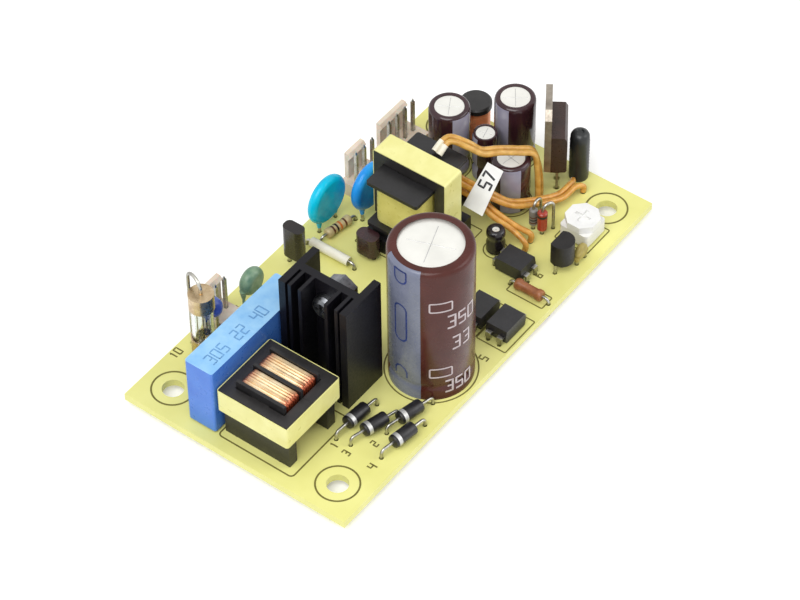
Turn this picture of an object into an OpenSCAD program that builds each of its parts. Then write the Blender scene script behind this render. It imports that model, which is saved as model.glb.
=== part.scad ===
// Open frame power supply: a mains converter built on one bare circuit board.
// The mains edge carries the fuse, the filter and the bridge, the middle carries the
// switching transistor and the transformer, and the far edge carries the output filter.
// X runs from the mains edge to the output edge, Y across the board and Z up.
// The origin is the centre of the four mounting holes, on the board's underside.

/* [Circuit board] */
// Length of the board, mains edge to output edge
board_l = 97.8; // [96:0.1:125]
// Width of the board
board_w = 50.8; // [50.4:0.1:66]
// Thickness of the laminate
board_t = 1.6; // [1:0.1:2.4]
// Distance from the board's edges to each mounting hole
hole_inset = 6.35; // [5.6:0.05:7.2]
// Diameter of each mounting hole
hole_d = 4.2; // [3:0.1:5.2]

/* [Leads and solder] */
// Diameter of a component's wire lead
lead_d = 0.6; // [0.4:0.05:0.8]
// Gap between a lead and the wall of its drilled hole
drill_gap = 0.15; // [0.05:0.05:0.25]
// Diameter of a solder joint where it meets the board
solder_d = 2; // [1.6:0.1:2.2]
// Reach of the solder joints and trimmed leads below the board
solder_h = 1.5; // [0.8:0.1:2.5]

/* [Bulk capacitor] */
// Diameter over the sleeve
bulk_d = 16.2; // [13:0.1:18]
// Height above the board
bulk_h = 33.5; // [22:0.5:42]
// Distance between the two leads
bulk_pitch = 7.5; // [5:0.5:8]
// Thickness of the shrunk sleeve
sleeve_t = 0.2; // [0.1:0.05:0.4]
// Width of the sleeve's lip over the top rim
sleeve_lip = 2; // [1.4:0.1:3]

/* [Mains filter] */
// Length of the box capacitor
box_cap_l = 26.5; // [18:0.1:27]
// Thickness of the box capacitor
box_cap_w = 6.3; // [5:0.1:7]
// Height of the box capacitor
box_cap_h = 16; // [10:0.5:20]
// Size of the flat filter core across its two outer limbs
filter_w = 15.6; // [14.5:0.1:15.8]
// Size of the flat filter core along its limbs
filter_l = 15.1; // [13:0.1:15.6]
// Thickness of the filter core
filter_t = 5.3; // [4.5:0.1:6]
// Thickness of the filter core's outer limbs and yokes
filter_limb = 2.2; // [1.8:0.1:2.6]
// Height of the bobbin's rails that the filter core lies on
filter_stand = 6.5; // [5:0.1:8]
// Diameter of the fuse's end caps
fuse_d = 4.9; // [3.6:0.1:5.4]
// Length of the fuse over its caps
fuse_l = 15; // [12:0.5:20]

/* [Heatsink and transistor] */
// Width of the heatsink across the board
sink_w = 15.3; // [14.8:0.1:16]
// Depth of the heatsink along the board
sink_d = 10.2; // [9.6:0.1:11]
// Height of the heatsink
sink_h = 25; // [22:0.5:35]
// Thickness of the heatsink's web
sink_web = 1.6; // [1.2:0.1:2.2]
// Thickness of the heatsink's fins
sink_fin = 0.7; // [0.5:0.1:0.8]
// Diameter of the transistor's fixing screw
screw_d = 3; // [2.5:0.1:3.2]
// Height of the fixing screw above the board
screw_h = 19.6; // [18.5:0.1:21]

/* [Transformer] */
// Width of the core across its outer limbs
core_w = 16.3; // [15.6:0.1:19.4]
// Height of the core over both yokes
core_h = 16.1; // [14:0.1:20]
// Thickness of the core
core_t = 5.4; // [4.4:0.1:6.6]
// Thickness of the core's outer limbs and yokes
core_limb = 2.1; // [1.8:0.1:2.6]
// Height of the core's lower yoke above the board
core_stand = 4.2; // [3.8:0.1:5.5]
// Width of the bobbin's flanges along the board
flange_l = 16.4; // [14:0.1:17.5]
// Thickness of the tape round the cores
tape_t = 0.2; // [0.1:0.05:0.3]

/* [Pin headers] */
// Distance between neighbouring pins
pin_pitch = 2.54; // [2:0.01:2.6]
// Side of a square pin
pin_w = 0.64; // [0.5:0.01:0.8]
// Height of the pins above the board
pin_h = 11.5; // [9:0.1:14]
// Height of a header's base
header_base_h = 3.2; // [2.4:0.1:4]
// Height of a header's friction lock above the board
header_lock_h = 9.6; // [7:0.1:12]

/* [Output filter] */
// Diameter of the two tall output capacitors
tall_cap_d = 8.2; // [6:0.1:8.4]
// Height of the two tall output capacitors
tall_cap_h = 16; // [12:0.5:25]
// Diameter of the low output capacitor
low_cap_d = 7.8; // [6:0.1:8]
// Height of the low output capacitor
low_cap_h = 12; // [8:0.5:16]
// Diameter of the drum choke
drum_d = 6.4; // [5:0.1:6.8]
// Height of the drum choke
drum_h = 10; // [7:0.5:14]
// Height of the rectifier's body above the board
rectifier_stand = 6.5; // [4:0.1:8]

/* [Control parts] */
// Width of the trimmer over the flats of its rotor
trimmer_w = 6.5; // [5:0.1:7]
// Height of the trimmer's base
trimmer_h = 3.4; // [2.6:0.1:4.5]
// Thickness of the trimmer's rotor
rotor_h = 1.5; // [1:0.1:2.2]
// Gap between the trimmer's rotor and its base
turn_gap = 0.05; // [0.02:0.01:0.1]

/* [Output leads] */
// Diameter of a stranded lead over its insulation
wire_d = 1.2; // [0.9:0.1:1.5]
// Length of the tag's flag
tag_l = 9.5; // [6:0.5:12]
// Width of the tag's flag
tag_w = 4.4; // [3:0.1:6]

/* [Hidden] */
$fn = 48;

// Places are measured from the nearest edge of the board, or from its centre
function from_mains(d) = -board_l / 2 + d;
function from_output(d) = board_l / 2 - d;
function from_front(d) = -board_w / 2 + d;
function from_rear(d) = board_w / 2 - d;
function turned(p, a) = [p[0] * cos(a) - p[1] * sin(a), p[0] * sin(a) + p[1] * cos(a)];

// A radial part's two lead points: the middle, the distance between them and the angle
function pair(p, pitch, a = 0) = [p + turned([pitch / 2, 0], a), p - turned([pitch / 2, 0], a)];
function row(p, pitch, n, a = 0) = [for (i = [0 : n - 1]) p + turned([(i - (n - 1) / 2) * pitch, 0], a)];

mount_x = board_l / 2 - hole_inset;
mount_y = board_w / 2 - hole_inset;

// Small clearances that are shared
skin_gap = 0.05;
seat_gap = 0.15;
joint_gap = 0.02;

// Bulk capacitor
bulk_at = [-10.28, from_front(9.32)];
bulk_leads = pair(bulk_at, bulk_pitch, 90);
bulk_can_r = bulk_d / 2 - sleeve_t - skin_gap;
bulk_can_h = bulk_h - sleeve_t - skin_gap;

// Mains filter: the flat core with the box capacitor behind it
filter_at = [from_mains(10.85), -2.5];
filter_leg = 4;
filter_win_l = filter_l - 2 * filter_limb;
filter_pin_pitch = [filter_l - 2.6, 10];
filter_leads = [
    for (x = [-1, 1], y = [-1, 1])
        filter_at + [x * filter_pin_pitch[0] / 2, y * filter_pin_pitch[1] / 2]
];
box_cap_at = [
    from_mains(2.5) + box_cap_l / 2,
    filter_at[1] + filter_w / 2 + tape_t + 0.35 + box_cap_w / 2
];
box_cap_leads = pair(box_cap_at, box_cap_l - 4);

// Fuse, standing on one cap with its top lead bent over and down
fuse_at = [from_mains(16), from_rear(6.2)];
fuse_stand = 2.2;
fuse_bend_r = 2.15;
fuse_bend_a = 72;
fuse_cap_l = 3.6;
fuse_leads = [fuse_at, fuse_at + turned([2 * fuse_bend_r, 0], fuse_bend_a)];

small_disc_at = [from_mains(20.2), from_rear(4.9)];
small_disc_leads = pair(small_disc_at, 2.5);
thermistor_at = [from_mains(31.1), from_rear(5.4)];
thermistor_leads = pair(thermistor_at, 5);
film_at = [-4.5, from_rear(5.1)];
film_leads = pair(film_at, 2.8, 90);

// Heatsink, its web across the board and the transistor on the web's far side
sink_at = [from_mains(26.6), -2.35];
web_x = sink_at[0];
fin_at = [2.95, 5.25];
tab_w = 10.2;
tab_t = 1.3;
tab_h = 15.3;
body_h = 9.2;
body_t = 4.4;
tab_hole = 2.8;
leg_x = 2.6;
pad_t = 0.2;
tab_x = web_x + sink_web / 2 + pad_t;
transistor_stand = screw_h - tab_h + tab_hole;
transistor_leads = row([tab_x + leg_x, sink_at[1]], 2.54, 3, 90);
sink_pin_d = 1.2;
sink_leads = [for (s = [-1, 1]) [web_x, sink_at[1] + s * 5.25]];

// Disc capacitors and the small parts between the transformer and the rear edge
y_cap_1_at = [7.4, from_rear(3.6)];
y_cap_2_at = [14.7, from_rear(8.4)];
y_cap_1_leads = pair(y_cap_1_at, 5);
y_cap_2_leads = pair(y_cap_2_at, 5);
clamp_cap_at = [5.4, 10.4];
clamp_cap_leads = pair(clamp_cap_at, 2.5, 90);
jumper_x = 1;
jumper_leads = [[jumper_x, from_rear(3.6)], [jumper_x, 10.4]];
clamp_res_at = [7.1, from_rear(6.45)];
clamp_res_a = -10;
clamp_res_pitch = 9;
clamp_res_leads = pair(clamp_res_at, clamp_res_pitch, clamp_res_a);

// Transformer, its core standing across the board
core_at = [15.1, 5.95];
leg_w = 4.6;
core_window = core_h - 2 * core_limb;
winding_d = flange_l - 2.6;
pin_row = 14.6;
trans_leads = [
    for (x = [-1, 1], y = [-1.5 : 1 : 1.5])
        core_at + [x * (flange_l / 2 - 1.6), y * 3.5]
];

// Pin headers along the rear edge
header_y = from_rear(3.4);
header_d = 5.9;
input_header_at = [from_mains(24.45), header_y];
control_header_at = [from_output(29.3), header_y];
output_header_at = [from_output(17.5), header_y];
function header_leads(p, n) = row(p, pin_pitch, n);

// Output filter
cap_1_at = [from_output(14.6), 12.5];
cap_2_at = [from_output(5.1), 3.7];
cap_3_at = [from_output(12.7), 5.3];
cap_4_at = [from_output(15.7), -2.9];
cap_1_leads = pair(cap_1_at, 3.5, -45);
cap_2_leads = pair(cap_2_at, 3.5, 90);
cap_3_leads = pair(cap_3_at, 2.2, 90);
cap_4_leads = pair(cap_4_at, 3.5, 90);
slim_cap_d = 5;
slim_cap_h = 11.5;
drum_at = [from_output(5.4), 12.8];
drum_leads = pair(drum_at, 4.8, 90);
rectifier_at = [from_output(5.52), -6.25];
rectifier_a = 34;
rectifier_leads = [
    for (i = [-1, 0, 1])
        rectifier_at + turned([i * 2.54, body_t / 2 - leg_x], rectifier_a)
];
wrapped_at = [from_output(2.2), -9.6];
wrapped_leads = pair(wrapped_at, 2.4, 90);
wrapped_d = 4;
wrapped_h = 12;

// Control parts along the front edge
trimmer_at = [from_output(14.7), from_front(6.3)];
rotor_d = trimmer_w;
pivot_d = 2.4;
trimmer_leads = [
    trimmer_at + [-2.4, -1.9],
    trimmer_at + [2.4, -1.9],
    trimmer_at + [0, 2.5]
];
to92_at = [from_output(24), from_front(4.6)];
to92_leads = row(to92_at, 2.2, 3, 0);
ceramic_at = [from_output(20.6), from_front(2.6)];
ceramic_leads = pair(ceramic_at, 2.5, 0);
zener_at = [from_output(19.1), from_front(12.6)];
zener_leads = [zener_at, zener_at + [2.4, -0.9]];
sense_at = [from_output(19), from_front(14.75)];
sense_leads = [sense_at, sense_at + [2.4, 0]];
feedback_at = [15.4, from_front(5.4)];
feedback_leads = pair(feedback_at, 8.8, 90);
control_cap_at = [21, from_front(17.2)];
control_cap_leads = pair(control_cap_at, 2.2, 0);
control_cap_d = 3.8;
control_cap_h = 5.8;
chip_at = [19, from_front(11.25)];

// Optocouplers
opto_l = 4.6;
opto_w = 6.4;
opto_row = 7.62;
opto_places = [[5.4, from_front(3.7)], [5.4, from_front(9.6)]];
opto_leads = [
    for (p = opto_places, x = [-1, 1], y = [-1, 1])
        p + [x * opto_row / 2, y * 1.27]
];
chip_leads = [
    for (x = [-1, 1], y = [-1, 1])
        chip_at + [x * 1.27, y * opto_row / 2]
];

// Bridge diodes: the middle of each, and the angle that its cathode points to
diode_l = 5.2;
diode_d = 2.7;
diode_z = 1.9;
diode_places = [
    [[from_mains(20.2), from_front(8.5)], 165],
    [[from_mains(26.3), from_front(5.1)], 167],
    [[from_mains(21.2), from_front(2.8)], 171],
    [[from_mains(19.9), from_front(12.4)], 175]
];
diode_pitch = 11;

// Stranded leads in pairs, through round points chosen along their routes.
// Heights are above the board, and the last two points of each route drop to its pads.
wire_gap = 0.1;
wire_core_d = 0.8;
wire_foot = 0.3;
wire_foot_pitch = 2.6;
flange_top = core_stand + core_h - core_limb - 0.15;
winding_x = core_at[0] + winding_d / 2;
wire_pad_a = [cap_4_at[0] + 3.4, cap_4_at[1] - 4.4];
wire_pad_b = [from_output(5.3), from_front(13.8)];
wire_pad_c = [25.3, from_front(12.8)];
wire_route_a = [
    [core_at[0] + 5.1, core_at[1] - 0.8, flange_top + wire_d / 2 + 0.1],
    [core_at[0] + 8.2, core_at[1] - 1.4, flange_top + 2.2],
    [core_at[0] + 9.9, core_at[1] - 4.6, flange_top + 1.2],
    [27, -0.6, 17],
    [30, -2.4, 16],
    [cap_4_at[0] + 0.4, cap_4_at[1] - 1.6, low_cap_h + 2.3],
    [wire_pad_a[0] - 0.6, wire_pad_a[1] + 1.3, low_cap_h + 0.9],
    [wire_pad_a[0], wire_pad_a[1] + 0.5, 9],
    [wire_pad_a[0], wire_pad_a[1], 3.6],
    [wire_pad_a[0], wire_pad_a[1], wire_foot]
];
wire_route_b = [
    [winding_x + 1.8, core_at[1] - 3, 10.3],
    [winding_x + 1.9, core_at[1] - 7.6, 10.1],
    [winding_x + 3.2, core_at[1] - 10.4, 8.8],
    [sense_at[0] - 1.9, sense_at[1] + 3.75, 6],
    [sense_at[0] + 3.1, sense_at[1] + 1.65, 3.6],
    [from_output(10.9), wire_pad_b[1] + 0.5, 2.2],
    [wire_pad_b[0] - 1.5, wire_pad_b[1] + 0.2, 2.1],
    [wire_pad_b[0], wire_pad_b[1], 1.6],
    [wire_pad_b[0], wire_pad_b[1], wire_foot]
];
wire_route_c = [
    [winding_x + 1.8, core_at[1] - 3, 8.3],
    [winding_x + 1.8, core_at[1] - 7.4, 8.1],
    [winding_x + 1.8, core_at[1] - 11.4, 6],
    [wire_pad_c[0] - 0.4, wire_pad_c[1] + 3, 3.6],
    [wire_pad_c[0], wire_pad_c[1], 2.2],
    [wire_pad_c[0], wire_pad_c[1], wire_foot]
];
function wire_feet(route) = let (last = len(route) - 1, b = beside(route, last))
    [for (s = [-1, 1]) [route[last][0], route[last][1]] + s * wire_foot_pitch / 2 * [b[0], b[1]]];

function at_each(list, d) = [for (p = list) [p[0], p[1], d]];
lead_points = concat(
    at_each(bulk_leads, 0.9),
    at_each(filter_leads, lead_d),
    at_each(box_cap_leads, lead_d + 0.2),
    at_each(fuse_leads, lead_d + 0.1),
    at_each(small_disc_leads, lead_d),
    at_each(thermistor_leads, lead_d),
    at_each(film_leads, lead_d),
    at_each(transistor_leads, 0.9),
    at_each(sink_leads, sink_pin_d),
    at_each(y_cap_1_leads, lead_d),
    at_each(y_cap_2_leads, lead_d),
    at_each(clamp_cap_leads, lead_d),
    at_each(jumper_leads, lead_d),
    at_each(clamp_res_leads, lead_d),
    at_each(trans_leads, lead_d),
    at_each(header_leads(input_header_at, 2), pin_w * 1.42),
    at_each(header_leads(control_header_at, 3), pin_w * 1.42),
    at_each(header_leads(output_header_at, 4), pin_w * 1.42),
    at_each(cap_1_leads, lead_d),
    at_each(cap_2_leads, lead_d),
    at_each(cap_3_leads, lead_d),
    at_each(cap_4_leads, lead_d),
    at_each(drum_leads, lead_d),
    at_each(rectifier_leads, 0.9),
    at_each(wrapped_leads, lead_d),
    at_each(trimmer_leads, lead_d),
    at_each(to92_leads, lead_d),
    at_each(ceramic_leads, lead_d),
    at_each(zener_leads, lead_d),
    at_each(sense_leads, lead_d),
    at_each(feedback_leads, lead_d),
    at_each(control_cap_leads, lead_d),
    at_each(opto_leads, 0.6),
    at_each(chip_leads, 0.6),
    at_each(wire_feet(wire_route_a), wire_core_d),
    at_each(wire_feet(wire_route_b), wire_core_d),
    at_each(wire_feet(wire_route_c), wire_core_d),
    [for (d = diode_places, s = [-1, 1]) concat(d[0] + turned([s * diode_pitch / 2, 0], d[1]), lead_d)]
);

module at(p, z = board_t) {
    translate([p[0], p[1], z])
        children();
}

// Straight lead from a height above the board to the board's underside
module lead(p, top, d = lead_d) {
    at(p, 0)
        cylinder(h = board_t + top, d = d, $fn = 24);
}

// Lead that leaves a body along X at height z, bends and drops through the board.
// The body's end is at x = 0 and the drop is at x = reach.
module formed_lead(reach, z, d = lead_d) {
    bend = d * 1.5;
    translate([0, 0, z])
        rotate([0, 90, 0])
            cylinder(h = reach - bend, d = d, $fn = 24);
    translate([reach - bend, 0, z - bend])
        rotate([90, 0, 0])
            rotate_extrude(angle = 90, $fn = 48)
                translate([bend, 0])
                    circle(d = d, $fn = 24);
    translate([reach, 0, 0])
        cylinder(h = z - bend, d = d, $fn = 24);
}

// Block with rounded upright edges
module rounded_block(l, w, h, r) {
    linear_extrude(h) {
        square([l - 2 * r, w], center = true);
        square([l, w - 2 * r], center = true);
        for (x = [-1, 1], y = [-1, 1])
            translate([x * (l / 2 - r), y * (w / 2 - r)])
                circle(r = r, $fn = 32);
    }
}

// Side of a can from its foot to its top rim, grown by g
neck_z = 3.4;
function can_side(r, h, neck, g) = [
    [r + g, 0],
    [r + g, neck_z - 1],
    [r + g - neck, neck_z],
    [r + g, neck_z + 1],
    [r + g, h - 1],
    [r + g - 0.3, h - 0.3 + g],
    [r + g - 1, h + g]
];

// Small electrolytic: a sleeved can with a crimped neck and a recessed bare top
module sleeved_can(r, h, leads) {
    rotate_extrude($fn = 72)
        polygon(concat(
            [[0, 0.4], [r - 1.3, 0.4], [r - 1, 0]],
            can_side(r, h, 0.35, 0),
            [[r - 1.1, h - 0.3], [0, h - 0.3]]
        ));
    for (p = leads)
        at(p, -board_t)
            cylinder(h = board_t + 0.6, d = lead_d, $fn = 24);
}

// Dipped disc that stands on its two leads, its faces across Y
module dipped_disc(r, t, z, pitch) {
    translate([0, 0, z])
        rotate([90, 0, 0])
            translate([0, 0, -t / 2])
                rotate_extrude($fn = 72) {
                    square([r - t / 2, t]);
                    translate([r - t / 2, t / 2])
                        circle(d = t, $fn = 32);
                }
    drop = sqrt(r * r - pitch * pitch / 4);
    for (s = [-1, 1]) {
        translate([s * pitch / 2, 0, -board_t])
            cylinder(h = board_t + z - drop / 2, d = lead_d, $fn = 24);
        translate([s * pitch / 2, 0, z - drop - 1.1])
            cylinder(h = 1.9, d1 = lead_d + 0.2, d2 = min(t, 1.5), $fn = 24);
    }
}

// Power transistor or rectifier: a metal tab with a fixing hole, a moulded body and
// three legs. The tab's back lies on the plane X = 0 and the part spreads towards +X.
module power_package(stand) {
    difference() {
        union() {
            translate([0, 0, stand + body_h - 1])
                rotate([90, 0, 90])
                    linear_extrude(tab_t)
                        polygon([
                            [-tab_w / 2, 0],
                            [tab_w / 2, 0],
                            [tab_w / 2, tab_h - body_h - 0.6],
                            [tab_w / 2 - 1.6, tab_h - body_h + 1],
                            [1.6 - tab_w / 2, tab_h - body_h + 1],
                            [-tab_w / 2, tab_h - body_h - 0.6]
                        ]);
            translate([0, tab_w / 2, stand])
                rotate([90, 0, 0])
                    linear_extrude(tab_w)
                        polygon([
                            [0, 0.2],
                            [body_t / 2, 0],
                            [body_t - 0.3, 0.2],
                            [body_t, 0.6],
                            [body_t, body_h - 0.9],
                            [body_t - 0.5, body_h],
                            [0, body_h]
                        ]);
        }
        translate([-1, 0, stand + tab_h - tab_hole])
            rotate([0, 90, 0])
                cylinder(h = 4, d = 3.6);
    }
    for (i = [-1, 0, 1]) {
        translate([leg_x - 0.25, i * 2.54 - 0.35, -board_t])
            cube([0.5, 0.7, board_t + stand + 1]);
        translate([leg_x - 0.25, i * 2.54 - 0.65, stand - 2.6])
            cube([0.5, 1.3, 3]);
    }
}

// Pin header with a friction lock behind its pins
module header_housing(n) {
    l = n * pin_pitch + 0.1;
    lock_l = n < 4 ? min(5, l) : l - 2;
    difference() {
        union() {
            translate([-l / 2, -3, 0])
                cube([l, header_d, header_base_h]);
            translate([-lock_l / 2, header_d - 3 - 0.9, 0])
                cube([lock_l, 0.9, header_lock_h]);
            translate([-lock_l / 2, header_d - 3 - 0.9, header_lock_h - 1.7])
                rotate([90, 0, 90])
                    linear_extrude(lock_l)
                        polygon([[0, 0], [0, 1.7], [-0.6, 0.9]]);
        }
        for (p = row([0, 0], pin_pitch, n))
            translate([p[0] - pin_w / 2 - skin_gap, -pin_w / 2 - skin_gap, -1])
                cube([pin_w + 2 * skin_gap, pin_w + 2 * skin_gap, header_base_h + 2]);
        for (p = row([0, 0], pin_pitch, n - 1))
            translate([p[0] - 0.3, -4, -1])
                cube([0.6, 1.6, header_base_h + 2]);
    }
}

module header_pins(n) {
    for (p = row([0, 0], pin_pitch, n)) {
        translate([p[0] - pin_w / 2, -pin_w / 2, -board_t])
            cube([pin_w, pin_w, board_t + pin_h - 0.6]);
        translate([p[0], 0, pin_h - 0.6])
            rotate(45)
                cylinder(h = 0.6, d1 = pin_w * 0.98, d2 = pin_w * 0.5, $fn = 24);
    }
}

// Flat ferrite E: a yoke with two outer limbs and a middle leg, its back at y = 0
module ferrite_e(w, l, t, limb, leg) {
    linear_extrude(t)
        difference() {
            translate([-w / 2, 0])
                square([w, l]);
            for (s = [-1, 1])
                translate([s * (w / 4 + leg / 4 - limb / 2) - (w / 2 - limb - leg / 2) / 2, limb])
                    square([w / 2 - limb - leg / 2, l]);
        }
}

// Stranded lead: a ring of points about each point of its route
function unit(v) = v / norm(v);
function along(route, i) = unit(
    route[min(i + 1, len(route) - 1)] - route[max(i - 1, 0)]
);
function smooth(a, b, c, d, t) = 0.5 * (
    2 * b + (c - a) * t + (2 * a - 5 * b + 4 * c - d) * t * t
    + (3 * b - a - 3 * c + d) * t * t * t
);
function eased(route, steps) = [
    for (i = [0 : len(route) - 2], k = [0 : steps - (i == len(route) - 2 ? 0 : 1)])
        smooth(
            route[max(i - 1, 0)], route[i], route[i + 1],
            route[min(i + 2, len(route) - 1)], k / steps
        )
];
module wire(route, d) {
    path = eased(route, 3);
    sides = 8;
    last = len(path) - 1;
    points = [
        for (i = [0 : last])
            let (
                w = along(path, i),
                u = unit(cross(w, [0.3, 0.9, 0.2])),
                v = cross(w, u)
            )
            for (k = [0 : sides - 1])
                path[i] + (u * cos(k * 360 / sides) + v * sin(k * 360 / sides)) * d / 2
    ];
    faces = concat(
        [[for (k = [0 : sides - 1]) k]],
        [
            for (i = [0 : last - 1], k = [0 : sides - 1])
                let (n = (k + 1) % sides)
                [i * sides + k, (i + 1) * sides + k, (i + 1) * sides + n, i * sides + n]
        ],
        [[for (k = [sides - 1 : -1 : 0]) last * sides + k]]
    );
    polyhedron(points, faces, convexity = 6);
}

// Two leads side by side, spread to their pads where they drop, with bared ends
function beside(route, i) = let (
    k = min(i, len(route) - 3),
    w = route[k + 1] - route[max(k - 1, 0)]
)
    unit([w[1], -w[0], 0]);
function spread(route, i) = i < len(route) - 2 ? (wire_d + wire_gap) / 2 : wire_foot_pitch / 2;
module wire_pair(route) {
    at([0, 0]) {
        for (s = [-1, 1])
            wire([for (i = [0 : len(route) - 1]) route[i] + s * spread(route, i) * beside(route, i)], wire_d);
        for (p = wire_feet(route))
            translate([p[0], p[1], -board_t])
                cylinder(h = board_t + wire_foot, d = wire_core_d, $fn = 24);
    }
}

module circuit_board() {
    color("khaki")
        difference() {
            translate([-board_l / 2, -board_w / 2, 0])
                cube([board_l, board_w, board_t]);
            for (x = [-1, 1], y = [-1, 1])
                at([x * mount_x, y * mount_y], -1)
                    cylinder(h = board_t + 2, d = hole_d);
            for (p = lead_points)
                at(p, -1)
                    cylinder(h = board_t + 2, d = p[2] + 2 * drill_gap, $fn = 24);
        }
}

module solder_joints() {
    color("silver")
        for (p = lead_points)
            at(p, -solder_h)
                cylinder(h = solder_h, d1 = p[2] + 0.1, d2 = max(solder_d, p[2] + 1), $fn = 24);
}

module bulk_capacitor_can() {
    color("gainsboro")
        at(bulk_at)
            rotate_extrude($fn = 96)
                polygon(concat(
                    [[0, 0.5], [bulk_can_r - 1.8, 0.5], [bulk_can_r - 1.4, 0]],
                    can_side(bulk_can_r, bulk_can_h, 0.3, 0),
                    [[bulk_can_r - 1.3, bulk_can_h - 0.3], [0, bulk_can_h - 0.3]]
                ));
    color("silver")
        for (p = bulk_leads)
            lead(p, 0.8, 0.9);
}

module bulk_capacitor_sleeve() {
    inner = can_side(bulk_can_r, bulk_can_h, 0.3, skin_gap);
    outer = can_side(bulk_can_r, bulk_can_h, 0.3, skin_gap + sleeve_t);
    lip_r = bulk_d / 2 - sleeve_lip;
    color("saddlebrown")
        at(bulk_at)
            rotate_extrude($fn = 96)
                polygon(concat(
                    outer,
                    [[lip_r, bulk_h], [lip_r, bulk_can_h + skin_gap]],
                    [for (i = [len(inner) - 1 : -1 : 0]) inner[i]]
                ));
}

module x_capacitor() {
    color("cornflowerblue")
        at(box_cap_at) {
            translate([0, 0, 0.5])
                rounded_block(box_cap_l, box_cap_w, box_cap_h - 0.5, 0.5);
            for (x = [-1, 1], y = [-1, 1])
                translate([x * (box_cap_l / 2 - 1.5), y * (box_cap_w / 2 - 1.2), 0])
                    cylinder(h = 1, d = 1.6, $fn = 24);
        }
    color("silver")
        for (p = box_cap_leads)
            lead(p, 0.8, lead_d + 0.2);
}

module filter_core() {
    color("dimgray")
        at(filter_at, board_t + filter_stand)
            for (s = [0, 180])
                rotate(s + 90)
                    translate([0, -filter_l / 2, 0])
                        ferrite_e(filter_w, filter_l / 2 - joint_gap, filter_t, filter_limb, filter_leg);
}

// The bobbin's tube, three flanges and the two rails that stand on the board
filter_tube_w = filter_leg + 2 * seat_gap;
filter_tube_t = filter_t + 2 * seat_gap;
filter_wall = 0.7;
filter_flange_w = filter_w - 2 * filter_limb - 2 * seat_gap;
filter_flange_z = 4.4;
filter_tube_l = filter_win_l - 2 * seat_gap;
module filter_bobbin() {
    rail_w = filter_w - 0.8;
    mid = filter_stand + filter_t / 2;
    color("dimgray")
        at(filter_at)
            difference() {
                union() {
                    for (s = [-1, 0, 1])
                        translate([
                            s * (filter_tube_l - filter_wall) / 2 - filter_wall / 2,
                            -filter_flange_w / 2,
                            mid - filter_flange_z
                        ])
                            cube([filter_wall, filter_flange_w, 2 * filter_flange_z]);
                    translate([-filter_tube_l / 2, -filter_tube_w / 2 - filter_wall, mid - filter_tube_t / 2 - filter_wall])
                        cube([filter_tube_l, filter_tube_w + 2 * filter_wall, filter_tube_t + 2 * filter_wall]);
                    for (s = [-1, 1])
                        translate([
                            s > 0 ? filter_tube_l / 2 - filter_wall : -filter_l / 2 + 0.9,
                            -rail_w / 2,
                            0
                        ])
                            cube([
                                filter_l / 2 - 0.9 - filter_tube_l / 2 + filter_wall,
                                rail_w,
                                filter_stand
                            ]);
                }
                translate([-filter_l, -filter_tube_w / 2, mid - filter_tube_t / 2])
                    cube([2 * filter_l, filter_tube_w, filter_tube_t]);
                for (p = filter_leads)
                    translate([p[0] - filter_at[0], p[1] - filter_at[1], -1])
                        cylinder(h = 3.5, d = lead_d + 2 * skin_gap, $fn = 24);
            }
}

module filter_pins() {
    color("silver")
        for (p = filter_leads)
            lead(p, 2.4);
}

// One half of the filter's winding, wound round the tube with rounded corners
module filter_winding(side) {
    room = (filter_tube_l - 3 * filter_wall) / 2;
    coil_l = room - 2 * seat_gap;
    inner_w = filter_tube_w + 2 * filter_wall + 2 * skin_gap;
    inner_h = filter_tube_t + 2 * filter_wall + 2 * skin_gap;
    outer_w = filter_flange_w - 0.3;
    outer_h = 2 * filter_flange_z - 0.5;
    mid = filter_stand + filter_t / 2;
    color("peru")
        at(filter_at, board_t + mid)
            translate([side * (room + filter_wall) / 2 - coil_l / 2, 0, 0])
                rotate([90, 0, 90])
                    difference() {
                        rounded_block(outer_w, outer_h, coil_l, 0.9);
                        translate([-inner_w / 2, -inner_h / 2, -1])
                            cube([inner_w, inner_h, coil_l + 2]);
                    }
}
module filter_winding_1() {
    filter_winding(-1);
}
module filter_winding_2() {
    filter_winding(1);
}

// Tape wound once round a core, drawn as a closed band with rounded corners
module tape_band(l, w, h) {
    difference() {
        rounded_block(l + 2 * skin_gap + 2 * tape_t, w + 2 * skin_gap + 2 * tape_t, h, 0.6);
        translate([-l / 2 - skin_gap, -w / 2 - skin_gap, -1])
            cube([l + 2 * skin_gap, w + 2 * skin_gap, h + 2]);
    }
}
module filter_tape() {
    color("lightgoldenrodyellow")
        at(filter_at, board_t + filter_stand + 0.1)
            tape_band(filter_l, filter_w, filter_t - 0.2);
}

module heatsink() {
    color("dimgray")
        at(sink_at)
            difference() {
                linear_extrude(sink_h) {
                    translate([-sink_web / 2, -sink_w / 2])
                        square([sink_web, sink_w]);
                    for (s = [-1, 1]) {
                        translate([-sink_d / 2, s * (sink_w - 1.5) / 2 - 0.75])
                            square([sink_d, 1.5]);
                        for (y = fin_at)
                            translate([-sink_d / 2 + 0.1, s * y - sink_fin / 2])
                                square([sink_d / 2, sink_fin]);
                    }
                }
                translate([-5, 0, screw_h])
                    rotate([0, 90, 0])
                        cylinder(h = 10, d = screw_d + 0.3);
            }
    color("silver")
        for (p = sink_leads)
            lead(p, 0.5, sink_pin_d);
}

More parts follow.
